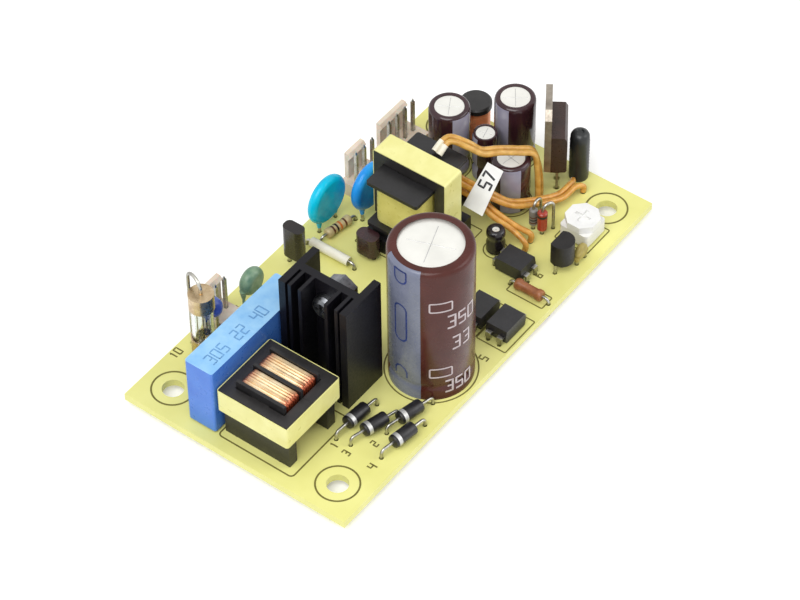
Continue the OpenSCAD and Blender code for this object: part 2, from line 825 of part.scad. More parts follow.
screw_head_d = 5;
screw_head_h = 2;
nut_t = 2.4;
module heatsink_screw() {
    color("silver")
        at([web_x - sink_web / 2, sink_at[1]], board_t + screw_h)
            rotate([0, 90, 0]) {
                cylinder(h = sink_web + pad_t + tab_t + nut_t + 0.8, d = screw_d, $fn = 32);
                difference() {
                    translate([0, 0, -screw_head_h])
                        rotate_extrude()
                            polygon([
                                [0, 0],
                                [screw_head_d / 2 - 0.9, 0],
                                [screw_head_d / 2 - 0.3, 0.4],
                                [screw_head_d / 2, 1.1],
                                [screw_head_d / 2, screw_head_h],
                                [0, screw_head_h]
                            ]);
                    for (a = [0, 90])
                        rotate(a)
                            translate([-1.6, -0.3, -screw_head_h - 1])
                                cube([3.2, 0.6, 2]);
                }
            }
}

module heatsink_nut() {
    color("silver")
        at([tab_x + tab_t, sink_at[1]], board_t + screw_h)
            rotate([0, 90, 0])
                difference() {
                    cylinder(h = nut_t, d = 5.4 / cos(30), $fn = 6);
                    translate([0, 0, -1])
                        cylinder(h = nut_t + 2, d = screw_d + 0.1, $fn = 32);
                }
}

module switch_transistor() {
    color("dimgray")
        at([tab_x, sink_at[1]])
            power_package(transistor_stand);
}

module transistor_pad() {
    color("lightgray")
        at([tab_x - pad_t, sink_at[1]])
            difference() {
                translate([0, -tab_w / 2 - 0.5, transistor_stand - 0.8])
                    cube([pad_t, tab_w + 1, tab_h + 1.2]);
                translate([-1, 0, screw_h])
                    rotate([0, 90, 0])
                        cylinder(h = 3, d = 3.6);
            }
}

module fuse_tube() {
    color("honeydew", 0.5)
        at(fuse_at, board_t + fuse_stand + 0.5)
            difference() {
                cylinder(h = fuse_l - 1, d = fuse_d - 0.6);
                translate([0, 0, -1])
                    cylinder(h = fuse_l + 1, d = fuse_d - 1.8);
            }
}

module fuse_caps() {
    foot = board_t + fuse_stand;
    color("goldenrod")
        at(fuse_at, 0) {
            for (m = [0, 1])
                translate([0, 0, foot + m * fuse_l])
                    mirror([0, 0, m])
                        difference() {
                            cylinder(h = fuse_cap_l, d = fuse_d);
                            translate([0, 0, 0.5 - skin_gap])
                                cylinder(h = fuse_cap_l, d = fuse_d - 0.6 + 2 * skin_gap);
                        }
            translate([0, 0, foot])
                cylinder(h = fuse_l, d = 0.3, $fn = 24);
            cylinder(h = foot + 0.2, d = lead_d + 0.1, $fn = 24);
            translate([0, 0, foot + fuse_l - 0.2])
                cylinder(h = 0.8, d = lead_d + 0.1, $fn = 24);
            rotate(fuse_bend_a) {
                translate([fuse_bend_r, 0, foot + fuse_l + 0.6])
                    rotate([90, 0, 0])
                        rotate_extrude(angle = 180)
                            translate([fuse_bend_r, 0])
                                circle(d = lead_d + 0.1, $fn = 24);
                translate([2 * fuse_bend_r, 0, 0])
                    cylinder(h = foot + fuse_l + 0.6, d = lead_d + 0.1, $fn = 24);
            }
        }
}

module small_disc_capacitor() {
    color("mediumslateblue")
        at(small_disc_at) {
            translate([0, 0, 9])
                sphere(r = 2.05);
            for (s = [-1, 1])
                translate([s * 1.25, 0, -board_t])
                    cylinder(h = board_t + 8.4, d = lead_d, $fn = 24);
        }
}

module inrush_thermistor() {
    color("darkseagreen")
        at(thermistor_at)
            dipped_disc(2.9, 2.7, 7, 5);
}

module y_capacitor_1() {
    color("lightseagreen")
        at(y_cap_1_at)
            dipped_disc(5.2, 2.2, 6.9, 5);
}

module y_capacitor_2() {
    color("steelblue")
        at(y_cap_2_at)
            dipped_disc(5.2, 2.2, 7.5, 5);
}

// Dipped block on two leads that lie along Y
module dipped_block(l, w, h, stand, leads) {
    translate([0, 0, stand])
        rounded_block(l, w, h, min(l, w) / 2 - 0.2);
    for (p = leads)
        translate([p[0], p[1], -board_t])
            cylinder(h = board_t + stand + 1, d = lead_d, $fn = 24);
}

module film_capacitor() {
    color("saddlebrown")
        at(film_at)
            dipped_block(2.6, 4.4, 7.6, 2.4, pair([0, 0], 2.8, 90));
}

module clamp_capacitor() {
    color("rosybrown")
        at(clamp_cap_at)
            dipped_block(3, 4.6, 4.6, 1.2, pair([0, 0], 2.5, 90));
}

module sleeved_jumper() {
    reach = (jumper_leads[0][1] - jumper_leads[1][1]) / 2;
    color("white")
        at((jumper_leads[0] + jumper_leads[1]) / 2) {
            translate([0, reach - 1.2, 1.3])
                rotate([90, 0, 0])
                    cylinder(h = 2 * reach - 2.4, d = 1.9, $fn = 32);
            for (s = [90, -90])
                rotate(s)
                    translate([reach - 1.4, 0, -board_t])
                        formed_lead(1.4, board_t + 1.3);
        }
}

// Axial part lying on the board: body, end beads and two formed leads along X
module axial_part(l, d, z, pitch, bead = 0) {
    translate([-l / 2, 0, z])
        rotate([0, 90, 0]) {
            cylinder(h = l, d = d, $fn = 32);
            if (bead > 0)
                for (x = [0, l - bead])
                    translate([0, 0, x])
                        cylinder(h = bead, d = d + 0.4, $fn = 32);
        }
    for (s = [0, 180])
        rotate(s)
            translate([l / 2 - 0.2, 0, -board_t])
                formed_lead(pitch / 2 - l / 2 + 0.2, board_t + z);
}

module clamp_resistor() {
    color("rosybrown")
        at(clamp_res_at)
            rotate(clamp_res_a)
                axial_part(6, 1.8, 1.3, clamp_res_pitch, 1.2);
}

module transformer_core() {
    color("dimgray")
        at(core_at, board_t + core_stand) {
            for (m = [0, 1])
                translate([-core_t / 2, 0, m * core_h])
                    mirror([0, 0, m])
                        rotate([90, 0, 90])
                            ferrite_e(core_w, core_h / 2 - joint_gap, core_t, core_limb, leg_w);
        }
}

bobbin_wall = 0.8;
tube_y = leg_w + 2 * seat_gap;
tube_x = core_t + 2 * seat_gap;
bobbin_flange_w = core_w - 2 * core_limb - 2 * seat_gap;
bobbin_low = core_stand + core_limb + seat_gap;
bobbin_tube_h = core_window - 2 * seat_gap;
module transformer_bobbin() {
    rail_in = core_t / 2 + seat_gap;
    rail_w = 14.2;
    color("dimgray")
        at(core_at)
            difference() {
                union() {
                    for (z = [0, bobbin_tube_h - bobbin_wall])
                        translate([0, 0, bobbin_low + z])
                            rounded_block(flange_l, bobbin_flange_w, bobbin_wall, 0.5);
                    translate([-tube_x / 2 - bobbin_wall, -tube_y / 2 - bobbin_wall, bobbin_low])
                        cube([tube_x + 2 * bobbin_wall, tube_y + 2 * bobbin_wall, bobbin_tube_h]);
                    for (s = [-1, 1]) {
                        translate([s > 0 ? rail_in : -flange_l / 2 + 0.6, -rail_w / 2, 0])
                            cube([flange_l / 2 - 0.6 - rail_in, rail_w, 3.5]);
                        translate([s > 0 ? rail_in : -flange_l / 2 + 1.4, -bobbin_flange_w / 2 + 0.4, 3])
                            cube([
                                flange_l / 2 - 1.4 - rail_in,
                                bobbin_flange_w - 0.8,
                                bobbin_low - 2.6
                            ]);
                    }
                }
                translate([-tube_x / 2, -tube_y / 2, 0])
                    cube([tube_x, tube_y, 50]);
                for (p = trans_leads)
                    translate([p[0] - core_at[0], p[1] - core_at[1], -1])
                        cylinder(h = 3.5, d = lead_d + 2 * skin_gap, $fn = 24);
            }
}

module transformer_winding() {
    z_0 = bobbin_low + bobbin_wall + seat_gap;
    h = bobbin_tube_h - 2 * bobbin_wall - 2 * seat_gap;
    color("lightgoldenrodyellow")
        at(core_at, board_t + z_0)
            difference() {
                rounded_block(winding_d, bobbin_flange_w - 1, h, 2.2);
                translate([
                    -tube_x / 2 - bobbin_wall - skin_gap,
                    -tube_y / 2 - bobbin_wall - skin_gap,
                    -1
                ])
                    cube([
                        tube_x + 2 * bobbin_wall + 2 * skin_gap,
                        tube_y + 2 * bobbin_wall + 2 * skin_gap,
                        h + 2
                    ]);
            }
}

module transformer_tape() {
    color("lightgoldenrodyellow")
        at(core_at, board_t + core_stand + core_h / 2)
            translate([-core_t / 2 + 0.1, 0, 0])
                rotate([90, 0, 90])
                    tape_band(core_w, core_h, core_t - 0.2);
}

module transformer_pins() {
    color("silver")
        for (p = trans_leads)
            lead(p, 2.4);
}

module flying_leads_1() {
    color("orange")
        wire_pair(wire_route_a);
}

module flying_leads_2() {
    color("orange")
        wire_pair(wire_route_b);
}

module flying_leads_3() {
    color("orange")
        wire_pair(wire_route_c);
}

// Bare flag with its foot folded round the leads
tag_at = [23.1, -3.8, 12.1];
module lead_tag() {
    color("white")
        at(tag_at, board_t + tag_at[2])
            rotate([14, -48, -6])
                translate([-tag_l / 2, -tag_w / 2, 0])
                    cube([tag_l, tag_w, 0.2]);
}

module input_header_housing() {
    color("wheat")
        at(input_header_at)
            header_housing(2);
}
module input_header_pins() {
    color("silver")
        at(input_header_at)
            header_pins(2);
}
module control_header_housing() {
    color("wheat")
        at(control_header_at)
            header_housing(3);
}
module control_header_pins() {
    color("silver")
        at(control_header_at)
            header_pins(3);
}
module output_header_housing() {
    color("wheat")
        at(output_header_at)
            header_housing(4);
}
module output_header_pins() {
    color("silver")
        at(output_header_at)
            header_pins(4);
}

module output_capacitor_1() {
    color("rosybrown")
        at(cap_1_at)
            sleeved_can(tall_cap_d / 2, tall_cap_h, pair([0, 0], 3.5, -45));
}
module output_capacitor_2() {
    color("rosybrown")
        at(cap_2_at)
            sleeved_can(tall_cap_d / 2, tall_cap_h, pair([0, 0], 3.5, 90));
}
module output_capacitor_3() {
    color("rosybrown")
        at(cap_3_at)
            sleeved_can(slim_cap_d / 2, slim_cap_h, pair([0, 0], 2.2, 90));
}
module output_capacitor_4() {
    color("rosybrown")
        at(cap_4_at)
            sleeved_can(low_cap_d / 2, low_cap_h, pair([0, 0], 3.5, 90));
}
module control_capacitor() {
    color("dimgray")
        at(control_cap_at)
            sleeved_can(control_cap_d / 2, control_cap_h, pair([0, 0], 2.2, 0));
}

// Drum choke: a ferrite bobbin with thick flanges, wound in one deep coil
drum_flange = 1.3;
drum_neck_r = 1.5;
module output_choke_core() {
    color("dimgray")
        at(drum_at)
            difference() {
                rotate_extrude($fn = 72)
                    polygon([
                        [0, 0],
                        [drum_d / 2 - 0.3, 0],
                        [drum_d / 2, 0.3],
                        [drum_d / 2, drum_flange],
                        [drum_neck_r, drum_flange],
                        [drum_neck_r, drum_h - drum_flange],
                        [drum_d / 2, drum_h - drum_flange],
                        [drum_d / 2, drum_h - 0.3],
                        [drum_d / 2 - 0.3, drum_h],
                        [0, drum_h]
                    ]);
                for (p = pair([0, 0], 4.8, 90))
                    translate([p[0], p[1], -1])
                        cylinder(h = drum_flange + 2, d = lead_d + 2 * seat_gap, $fn = 24);
            }
}

module output_choke_winding() {
    h = drum_h - 2 * drum_flange - 2 * seat_gap;
    color("sandybrown")
        at(drum_at) {
            translate([0, 0, drum_flange + seat_gap])
                rotate_extrude($fn = 72)
                    translate([drum_neck_r + skin_gap, 0])
                        square([drum_d / 2 - 0.3 - drum_neck_r - skin_gap, h]);
            for (p = pair([0, 0], 4.8, 90))
                translate([p[0], p[1], -board_t])
                    cylinder(h = board_t + drum_flange + 1, d = lead_d, $fn = 24);
        }
}

module shrink_wrapped_choke() {
    color("dimgray")
        at(wrapped_at) {
            rotate_extrude($fn = 64) {
                square([wrapped_d / 2, wrapped_h - 1.4]);
                square([wrapped_d / 2 - 1.4, wrapped_h]);
                translate([wrapped_d / 2 - 1.4, wrapped_h - 1.4])
                    intersection() {
                        circle(r = 1.4);
                        square(1.4);
                    }
            }
            for (p = pair([0, 0], 2.4, 90))
                translate([p[0], p[1], -board_t])
                    cylinder(h = board_t + 0.5, d = lead_d, $fn = 24);
        }
}

module output_rectifier() {
    color("dimgray")
        at(rectifier_at)
            rotate(rectifier_a - 90)
                translate([-body_t / 2, 0, 0])
                    power_package(rectifier_stand);
}

// Trimmer: a square base with a collar, and a rotor with a screwdriver cross
module trimmer_base() {
    color("linen")
        at(trimmer_at)
            difference() {
                union() {
                    translate([0, 0, 0.6])
                        rounded_block(trimmer_w, trimmer_w, trimmer_h - 0.6, 0.8);
                    for (x = [-1, 1], y = [-1, 1])
                        translate([x * (trimmer_w / 2 - 1), y * (trimmer_w / 2 - 1), 0])
                            cylinder(h = 1, d = 1.4, $fn = 24);
                }
                translate([0, 0, trimmer_h - 1.4])
                    cylinder(h = 3, d = pivot_d + 2 * turn_gap);
            }
    color("silver")
        for (p = trimmer_leads)
            lead(p, 1);
}

module trimmer_rotor() {
    seat = trimmer_h + turn_gap;
    color("whitesmoke")
        at(trimmer_at) {
            translate([0, 0, trimmer_h - 1.3])
                cylinder(h = 1.3 + turn_gap, d = pivot_d);
            difference() {
                translate([0, 0, seat])
                    rotate(22.5)
                        cylinder(h = rotor_h, d = rotor_d / cos(22.5), $fn = 8);
                for (a = [0, 90])
                    rotate(a)
                        translate([-1.7, -0.35, seat + rotor_h - 0.6])
                            cube([3.4, 0.7, 2]);
            }
        }
}

module control_transistor() {
    color("dimgray")
        at(to92_at) {
            translate([0, 0, 2.2])
                linear_extrude(5)
                    difference() {
                        circle(d = 4.8);
                        translate([-3, 1.3])
                            square([6, 3]);
                    }
            for (p = row([0, 0], 2.2, 3))
                translate([p[0] * 0.8, p[1], 2])
                    cylinder(h = 0.4, d = lead_d, $fn = 24);
            for (p = row([0, 0], 2.2, 3))
                translate([p[0], p[1], -board_t])
                    cylinder(h = board_t + 2.2, d = lead_d, $fn = 24);
        }
}

module ceramic_capacitor() {
    color("khaki")
        at(ceramic_at)
            dipped_disc(1.7, 1.4, 2.5, 2.5);
}

// Axial part stood on end: one lead goes straight down, the other bends over
module standing_part(d, l, stand, offset) {
    reach = norm(offset);
    translate([0, 0, stand])
        cylinder(h = l, d = d, $fn = 32);
    translate([0, 0, -board_t])
        cylinder(h = board_t + stand + 0.5, d = lead_d, $fn = 24);
    translate([0, 0, stand + l - 0.5])
        cylinder(h = 0.8, d = lead_d, $fn = 24);
    rotate(atan2(offset[1], offset[0])) {
        translate([reach / 2, 0, stand + l + 0.3])
            rotate([90, 0, 0])
                rotate_extrude(angle = 180)
                    translate([reach / 2, 0])
                        circle(d = lead_d, $fn = 24);
        translate([reach, 0, -board_t])
            cylinder(h = board_t + stand + l + 0.3, d = lead_d, $fn = 24);
    }
}

module zener_diode() {
    color("firebrick")
        at(zener_at)
            standing_part(2, 4.6, 1.2, zener_leads[1] - zener_leads[0]);
}

module sense_resistor() {
    color("gray")
        at(sense_at)
            standing_part(1.7, 4, 1.2, sense_leads[1] - sense_leads[0]);
}

module feedback_resistor() {
    color("tan")
        at(feedback_at)
            rotate(90)
                axial_part(6, 2, 1.2, 8.8, 1.3);
}

// Four-pin optocoupler: a moulded body with a parting line and formed legs
module optocoupler() {
    translate([0, opto_l / 2, 0])
        rotate([90, 0, 0])
            linear_extrude(opto_l)
                polygon([
                    [-opto_w / 2 + 0.3, 0.3],
                    [opto_w / 2 - 0.3, 0.3],
                    [opto_w / 2, 1.7],
                    [opto_w / 2 - 0.3, 3.3],
                    [-opto_w / 2 + 0.3, 3.3],
                    [-opto_w / 2, 1.7]
                ]);
    for (x = [-1, 1], y = [-1, 1])
        translate([x * opto_row / 2, y * 1.27, 0]) {
            translate([-0.15, -0.6, 0.6])
                cube([0.3, 1.2, 1.35]);
            translate([-0.15, -0.25, -board_t])
                cube([0.3, 0.5, board_t + 1]);
            translate([x > 0 ? -1 : 0, -0.6, 1.65])
                cube([1, 1.2, 0.3]);
        }
}
module optocouplers() {
    color("dimgray")
        for (p = opto_places)
            at(p)
                optocoupler();
}

module control_chip() {
    color("dimgray")
        at(chip_at)
            rotate(90)
                optocoupler();
}

module bridge_diodes() {
    color("dimgray")
        for (d = diode_places)
            at(d[0])
                rotate(d[1])
                    axial_part(diode_l, diode_d, diode_z, diode_pitch);
}

circuit_board();
solder_joints();
bulk_capacitor_can();
bulk_capacitor_sleeve();
x_capacitor();
filter_core();
filter_bobbin();
filter_pins();
filter_winding_1();
filter_winding_2();
filter_tape();
heatsink();
heatsink_screw();
heatsink_nut();
switch_transistor();
transistor_pad();
fuse_tube();
fuse_caps();
small_disc_capacitor();
inrush_thermistor();
y_capacitor_1();
y_capacitor_2();
film_capacitor();
clamp_capacitor();
sleeved_jumper();
clamp_resistor();
transformer_core();
transformer_bobbin();
transformer_winding();
transformer_tape();
transformer_pins();
flying_leads_1();
flying_leads_2();
flying_leads_3();
lead_tag();
input_header_housing();
input_header_pins();
control_header_housing();
control_header_pins();
output_header_housing();
output_header_pins();
output_capacitor_1();
output_capacitor_2();
output_capacitor_3();
output_capacitor_4();
control_capacitor();
output_choke_core();
output_choke_winding();
shrink_wrapped_choke();
output_rectifier();
trimmer_base();
trimmer_rotor();
control_transistor();
ceramic_capacitor();
zener_diode();
sense_resistor();
feedback_resistor();
optocouplers();
control_chip();
bridge_diodes();
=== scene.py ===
import math

import bmesh
import bpy
from mathutils import Euler, Matrix, Vector


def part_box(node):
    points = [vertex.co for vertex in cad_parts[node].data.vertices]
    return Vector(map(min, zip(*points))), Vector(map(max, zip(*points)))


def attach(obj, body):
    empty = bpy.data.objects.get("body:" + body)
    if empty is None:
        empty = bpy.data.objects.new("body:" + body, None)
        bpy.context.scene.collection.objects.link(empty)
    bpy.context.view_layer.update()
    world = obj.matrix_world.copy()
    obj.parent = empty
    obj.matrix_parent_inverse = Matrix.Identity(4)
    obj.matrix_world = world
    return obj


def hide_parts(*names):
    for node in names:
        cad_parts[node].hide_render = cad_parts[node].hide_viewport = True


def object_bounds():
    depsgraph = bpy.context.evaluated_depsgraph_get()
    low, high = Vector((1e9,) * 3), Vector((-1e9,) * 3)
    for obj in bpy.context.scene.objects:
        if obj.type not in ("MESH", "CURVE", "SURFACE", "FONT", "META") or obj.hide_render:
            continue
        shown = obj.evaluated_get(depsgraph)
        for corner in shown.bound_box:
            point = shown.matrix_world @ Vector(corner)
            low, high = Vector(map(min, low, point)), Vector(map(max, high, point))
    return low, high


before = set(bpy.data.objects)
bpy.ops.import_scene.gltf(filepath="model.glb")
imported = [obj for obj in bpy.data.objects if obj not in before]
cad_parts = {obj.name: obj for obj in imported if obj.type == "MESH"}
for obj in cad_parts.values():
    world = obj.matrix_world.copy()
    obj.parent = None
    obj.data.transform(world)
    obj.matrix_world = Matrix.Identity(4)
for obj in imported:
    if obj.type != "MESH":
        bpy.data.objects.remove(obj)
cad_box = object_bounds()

# ---------------------------------------------------------------------------
# The view. A long lens looks down across the mains end and the front edge of
# the board, from a little over half a metre, so the edges stay nearly parallel.
turn, tilt, roll = (math.radians(a) for a in (-52.651, 47.475, -0.754))
distance, slide_x, slide_y = 0.620825, 0.000907, 0.000355
back = Vector((math.sin(turn) * math.cos(tilt), -math.cos(turn) * math.cos(tilt), math.sin(tilt)))
level = (-back).cross(Vector((0, 0, 1))).normalized()
above = level.cross(-back)
across = level * math.cos(roll) + above * math.sin(roll)
upward = above * math.cos(roll) - level * math.sin(roll)
camera = bpy.data.objects.new("camera", bpy.data.cameras.new("camera"))
camera.data.lens = 148.14
camera.data.sensor_width = 36
camera.data.clip_start = 0.05
camera.data.clip_end = 20
camera.matrix_world = Matrix.Translation(
    back * distance + across * slide_x + upward * slide_y
) @ Matrix((across, upward, back)).transposed().to_4x4()
bpy.context.collection.objects.link(camera)
bpy.context.scene.camera = camera
bpy.context.scene.view_settings.view_transform = "Standard"


# ---------------------------------------------------------------------------
# The studio. A plain white table under the board and an even white room, with
# one large soft lamp over the mains end and a weaker one beside the output end.
def linear(code):
    """Linear colour with alpha from an sRGB hex value."""
    parts = [int(code[i:i + 2], 16) / 255 for i in (1, 3, 5)]
    return [c / 12.92 if c <= 0.04045 else ((c + 0.055) / 1.055) ** 2.4 for c in parts] + [1.0]


def put(tree, kind, inputs=None, **settings):
    """Adds a shader node, sets its properties, and sets or links its inputs."""
    node = tree.nodes.new("ShaderNode" + kind)
    for name, value in settings.items():
        setattr(node, name, value)
    for name, value in (inputs or {}).items():
        if isinstance(value, bpy.types.NodeSocket):
            tree.links.new(value, node.inputs[name])
        else:
            node.inputs[name].default_value = value
    return node


def new_tree(name):
    """A new material and its emptied node tree."""
    material = bpy.data.materials.new(name)
    material.use_nodes = True
    material.node_tree.nodes.clear()
    return material, material.node_tree


def seen_directly(tree):
    """1 for what the eye, a mirror or a lens sees, 0 for light that bounces."""
    path = put(tree, "LightPath").outputs
    either = put(
        tree, "Math", {0: path["Is Camera Ray"], 1: path["Is Glossy Ray"]}, operation="MAXIMUM"
    )
    return put(
        tree, "Math", {0: either.outputs[0], 1: path["Is Transmission Ray"]}, operation="MAXIMUM"
    ).outputs[0]


world = bpy.data.worlds.new("white_room")
bpy.context.scene.world = world
world.use_nodes = True
world.node_tree.nodes.clear()
room = put(world.node_tree, "Background", {"Color": linear("#ffffff"), "Strength": 0.54})
wall = put(world.node_tree, "Background", {"Color": linear("#ffffff"), "Strength": 1.0})
chosen = put(
    world.node_tree, "MixShader",
    {0: seen_directly(world.node_tree), 1: room.outputs[0], 2: wall.outputs[0]},
)
put(world.node_tree, "OutputWorld", {"Surface": chosen.outputs[0]})

table_white, tree = new_tree("matt_white_table")
paper = put(tree, "BsdfDiffuse", {"Color": linear("#f2f2f2")})
glow = put(tree, "Emission", {"Color": linear("#ffffff"), "Strength": 0.26})
lifted = put(tree, "AddShader", {0: paper.outputs[0], 1: glow.outputs[0]})
surface = put(
    tree, "MixShader", {0: seen_directly(tree), 1: paper.outputs[0], 2: lifted.outputs[0]}
)
put(tree, "OutputMaterial", {"Surface": surface.outputs[0]})
table = bmesh.new()
bmesh.ops.create_grid(table, x_segments=1, y_segments=1, size=3)
table_mesh = bpy.data.meshes.new("table")
table.to_mesh(table_mesh)
table.free()
table_mesh.materials.append(table_white)
floor = bpy.data.objects.new("table", table_mesh)
# 0.2 mm under the lowest clipped lead
floor.location.z = cad_box[0][2] - 0.0002
bpy.context.collection.objects.link(floor)

for name, place, size, power in (
    ("soft_lamp", (-0.66, -0.12, 1.05), 0.9, 10.8),
    ("side_lamp", (0.55, -0.75, 0.6), 0.7, 3.5),
):
    lamp = bpy.data.lights.new(name, "AREA")
    lamp.shape = "SQUARE"
    lamp.size = size
    lamp.energy = power
    holder = bpy.data.objects.new(name, lamp)
    holder.location = place
    holder.rotation_euler = Vector(place).to_track_quat("Z", "Y").to_euler()
    bpy.context.collection.objects.link(holder)


# ---------------------------------------------------------------------------
# The board. Pale yellow paper-and-resin laminate, punched and drilled, with the
# copper on its underside only. The four corner holes take the mounting screws.
def mm(node):
    """Lowest and highest corner of a CAD node in millimetres."""
    low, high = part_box(node)
    return Vector(low) * 1000, Vector(high) * 1000


def middle(node):
    """Centre of a CAD node's box in millimetres."""
    low, high = mm(node)
    return (low + high) / 2


def coat(tree, light, dark, patch, roughness, grain=0.5, relief=0.0, **shader):
    """A surface whose colour drifts between two tones over patches of a size in
    millimetres, with a finer grain that breaks its gloss and stands out as relief."""
    place = put(tree, "TexCoord").outputs["Object"]
    patches = put(tree, "TexNoise", {"Vector": place, "Scale": 1000 / patch, "Detail": 3.0})
    spread = put(tree, "MapRange", {0: patches.outputs[0], 1: 0.3, 2: 0.7})
    tone = put(
        tree, "Mix", {0: spread.outputs[0], 6: linear(light), 7: linear(dark)}, data_type="RGBA"
    )
    fine = put(tree, "TexNoise", {"Vector": place, "Scale": 1000 / grain, "Detail": 2.0})
    gloss = put(
        tree, "MapRange",
        {0: fine.outputs[0], 1: 0.3, 2: 0.7, 3: roughness * 0.8, 4: min(1, roughness * 1.2)},
    )
    inputs = {"Base Color": tone.outputs[2], "Roughness": gloss.outputs[0], **shader}
    if relief:
        bump = put(tree, "Bump", {"Height": fine.outputs[0], "Distance": relief / 1000})
        inputs["Normal"] = bump.outputs[0]
    return put(tree, "BsdfPrincipled", inputs).outputs[0]


def finish(name, *look, **more):
    """A material that has one such surface all over."""
    material, tree = new_tree(name)
    put(tree, "OutputMaterial", {"Surface": coat(tree, *look, **more)})
    return material


def paint(material, *nodes):
    """Gives CAD nodes their material."""
    for node in nodes:
        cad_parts[node].data.materials.clear()
        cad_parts[node].data.materials.append(material)


# Paper laminate: even pale yellow with a slight mottle of the fibres, satin.
laminate = finish(
    "paper_laminate_pale_yellow", "#ece994", "#e2df86", 9, 0.42, grain=0.6, relief=0.004
)
paint(laminate, "circuit_board")
board_top = mm("circuit_board")[1].z


def skin(bm, loops, finish_index=0, closed=False):
    """Joins loops of points, one after the other, into a closed form."""
    rows = [[bm.verts.new(p) for p in loop] for loop in loops]
    pairs = list(zip(rows, rows[1:])) + ([(rows[-1], rows[0])] if closed else [])
    faces = []
    for a, b in pairs:
        for i in range(len(a)):
            j = (i + 1) % len(a)
            faces.append(bm.faces.new((a[i], a[j], b[j], b[i])))
    if not closed:
        faces += [bm.faces.new(rows[0][::-1]), bm.faces.new(rows[-1])]
    for face in faces:
        face.material_index = finish_index
        face.smooth = True


def tube(bm, path, radius, sides=10, finish_index=0):
    """A round bar along a path."""
    points = [Vector(p) for p in path]
    side = None
    loops = []
    for i, point in enumerate(points):
        ahead = (points[min(i + 1, len(points) - 1)] - points[max(i - 1, 0)]).normalized()
        side = ahead.orthogonal() if side is None else side
        side = (side - ahead * side.dot(ahead)).normalized()
        other = ahead.cross(side)
        loops.append([
            point + (side * math.cos(a) + other * math.sin(a)) * radius
            for a in (math.tau * k / sides for k in range(sides))
        ])
    skin(bm, loops, finish_index)


def turned(bm, at, profile, steps=40, finish_index=0, closed=False):
    """A form turned about the Z axis of a placing, from (radius, height) pairs."""
    place = at if isinstance(at, Matrix) else Matrix.Translation(at)
    skin(bm, [
        [place @ Vector((max(r, 0.01) * math.cos(a), max(r, 0.01) * math.sin(a), z))
         for a in (math.tau * k / steps for k in range(steps))]
        for r, z in profile
    ], finish_index, closed)


# Edges that turn more than this stay sharp
crease = math.radians(38)


def piece(name, bm, finishes, *nodes, body="board", slot=None):
    """Ends a mesh drawn in millimetres as an object that stands for its CAD nodes."""
    bmesh.ops.recalc_face_normals(bm, faces=bm.faces)
    for edge in bm.edges:
        edge.smooth = len(edge.link_faces) == 2 and edge.calc_face_angle(0) < crease
    mesh = bpy.data.meshes.new(name)
    bm.to_mesh(mesh)
    bm.free()
    mesh.transform(Matrix.Scale(0.001, 4))
    for material in finishes:
        mesh.materials.append(material)
    made = bpy.data.objects.new(name, mesh)
    bpy.context.collection.objects.link(made)
    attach(made, body)
    if nodes:
        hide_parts(*nodes)


# ---------------------------------------------------------------------------
# Solder joints. Each lead is soldered to the copper underneath and cut off, so
# the fillet climbs it in a hollow curve and the clipped end stands out.
def islands(node):
    """Boxes in millimetres of the separate solids of a CAD node."""
    bm = bmesh.new()
    bm.from_mesh(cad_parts[node].data)
    bmesh.ops.remove_doubles(bm, verts=bm.verts, dist=1e-7)
    left = set(bm.verts)
    found = []
    while left:
        edge_of_search = [left.pop()]
        group = list(edge_of_search)
        while edge_of_search:
            for edge in edge_of_search.pop().link_edges:
                for vert in edge.verts:
                    if vert in left:
                        left.remove(vert)
                        edge_of_search.append(vert)
                        group.append(vert)
        points = [vert.co * 1000 for vert in group]
        low = Vector([min(p[k] for p in points) for k in range(3)])
        high = Vector([max(p[k] for p in points) for k in range(3)])
        found.append((low, high))
    bm.free()
    return sorted(found, key=lambda box: (round(box[0].x, 2), round(box[0].y, 2)))


# Tin alloy: bright grey metal, slightly uneven where it froze.
solder = finish(
    "frozen_tin_solder", "#c4c4c0", "#9c9c98", 1.2, 0.28, grain=0.5, relief=0.01, Metallic=1.0
)
joints = bmesh.new()
for low, high in islands("solder_joints"):
    pad = (high.x - low.x) / 2
    reach = low.z
    tip = min(0.42, pad * 0.42)
    turned(joints, ((low.x + high.x) / 2, (low.y + high.y) / 2, 0), [
        (0, 0), (pad, 0), (pad * 0.97, -0.06), (pad * 0.72, reach * 0.16),
        (pad * 0.55, reach * 0.36), (tip * 1.08, reach * 0.62), (tip, reach * 0.72),
        (tip, reach * 0.96), (tip * 0.8, reach), (0, reach),
    ], steps=16)
piece("solder_fillets", joints, [solder], "solder_joints")
# ---------------------------------------------------------------------------
# Copper. A flat land round each solder joint and a track to the nearest land that is
# not right beside it, on the underside of the board.
# Etched copper under clear lacquer: warm, dull metal in flat lands and tracks.
etched = finish(
    "etched_copper", "#cf8d5c", "#b87446", 3, 0.42, grain=0.5, relief=0.006, Metallic=0.9
)
land_radius, overlap = 1.23, 0.3
foil_top, track_face, land_face = -0.01, -0.04, -0.05
# Only lands this far apart are joined
near, far = 3.2, 14
lands = [
    Vector(((low.x + high.x) / 2, (low.y + high.y) / 2)) for low, high in islands("solder_joints")
]
tracks = bmesh.new()
joined = set()
for i, pad in enumerate(lands):
    turned(tracks, (pad.x, pad.y, 0), [
        (0, land_face), (land_radius, land_face), (land_radius, foil_top), (0, foil_top)
    ], 20)
    others = [j for j, other in enumerate(lands) if near < (other - pad).length < far]
    if others:
        nearest = min(others, key=lambda j: (lands[j] - pad).length)
        joined.add((min(i, nearest), max(i, nearest)))
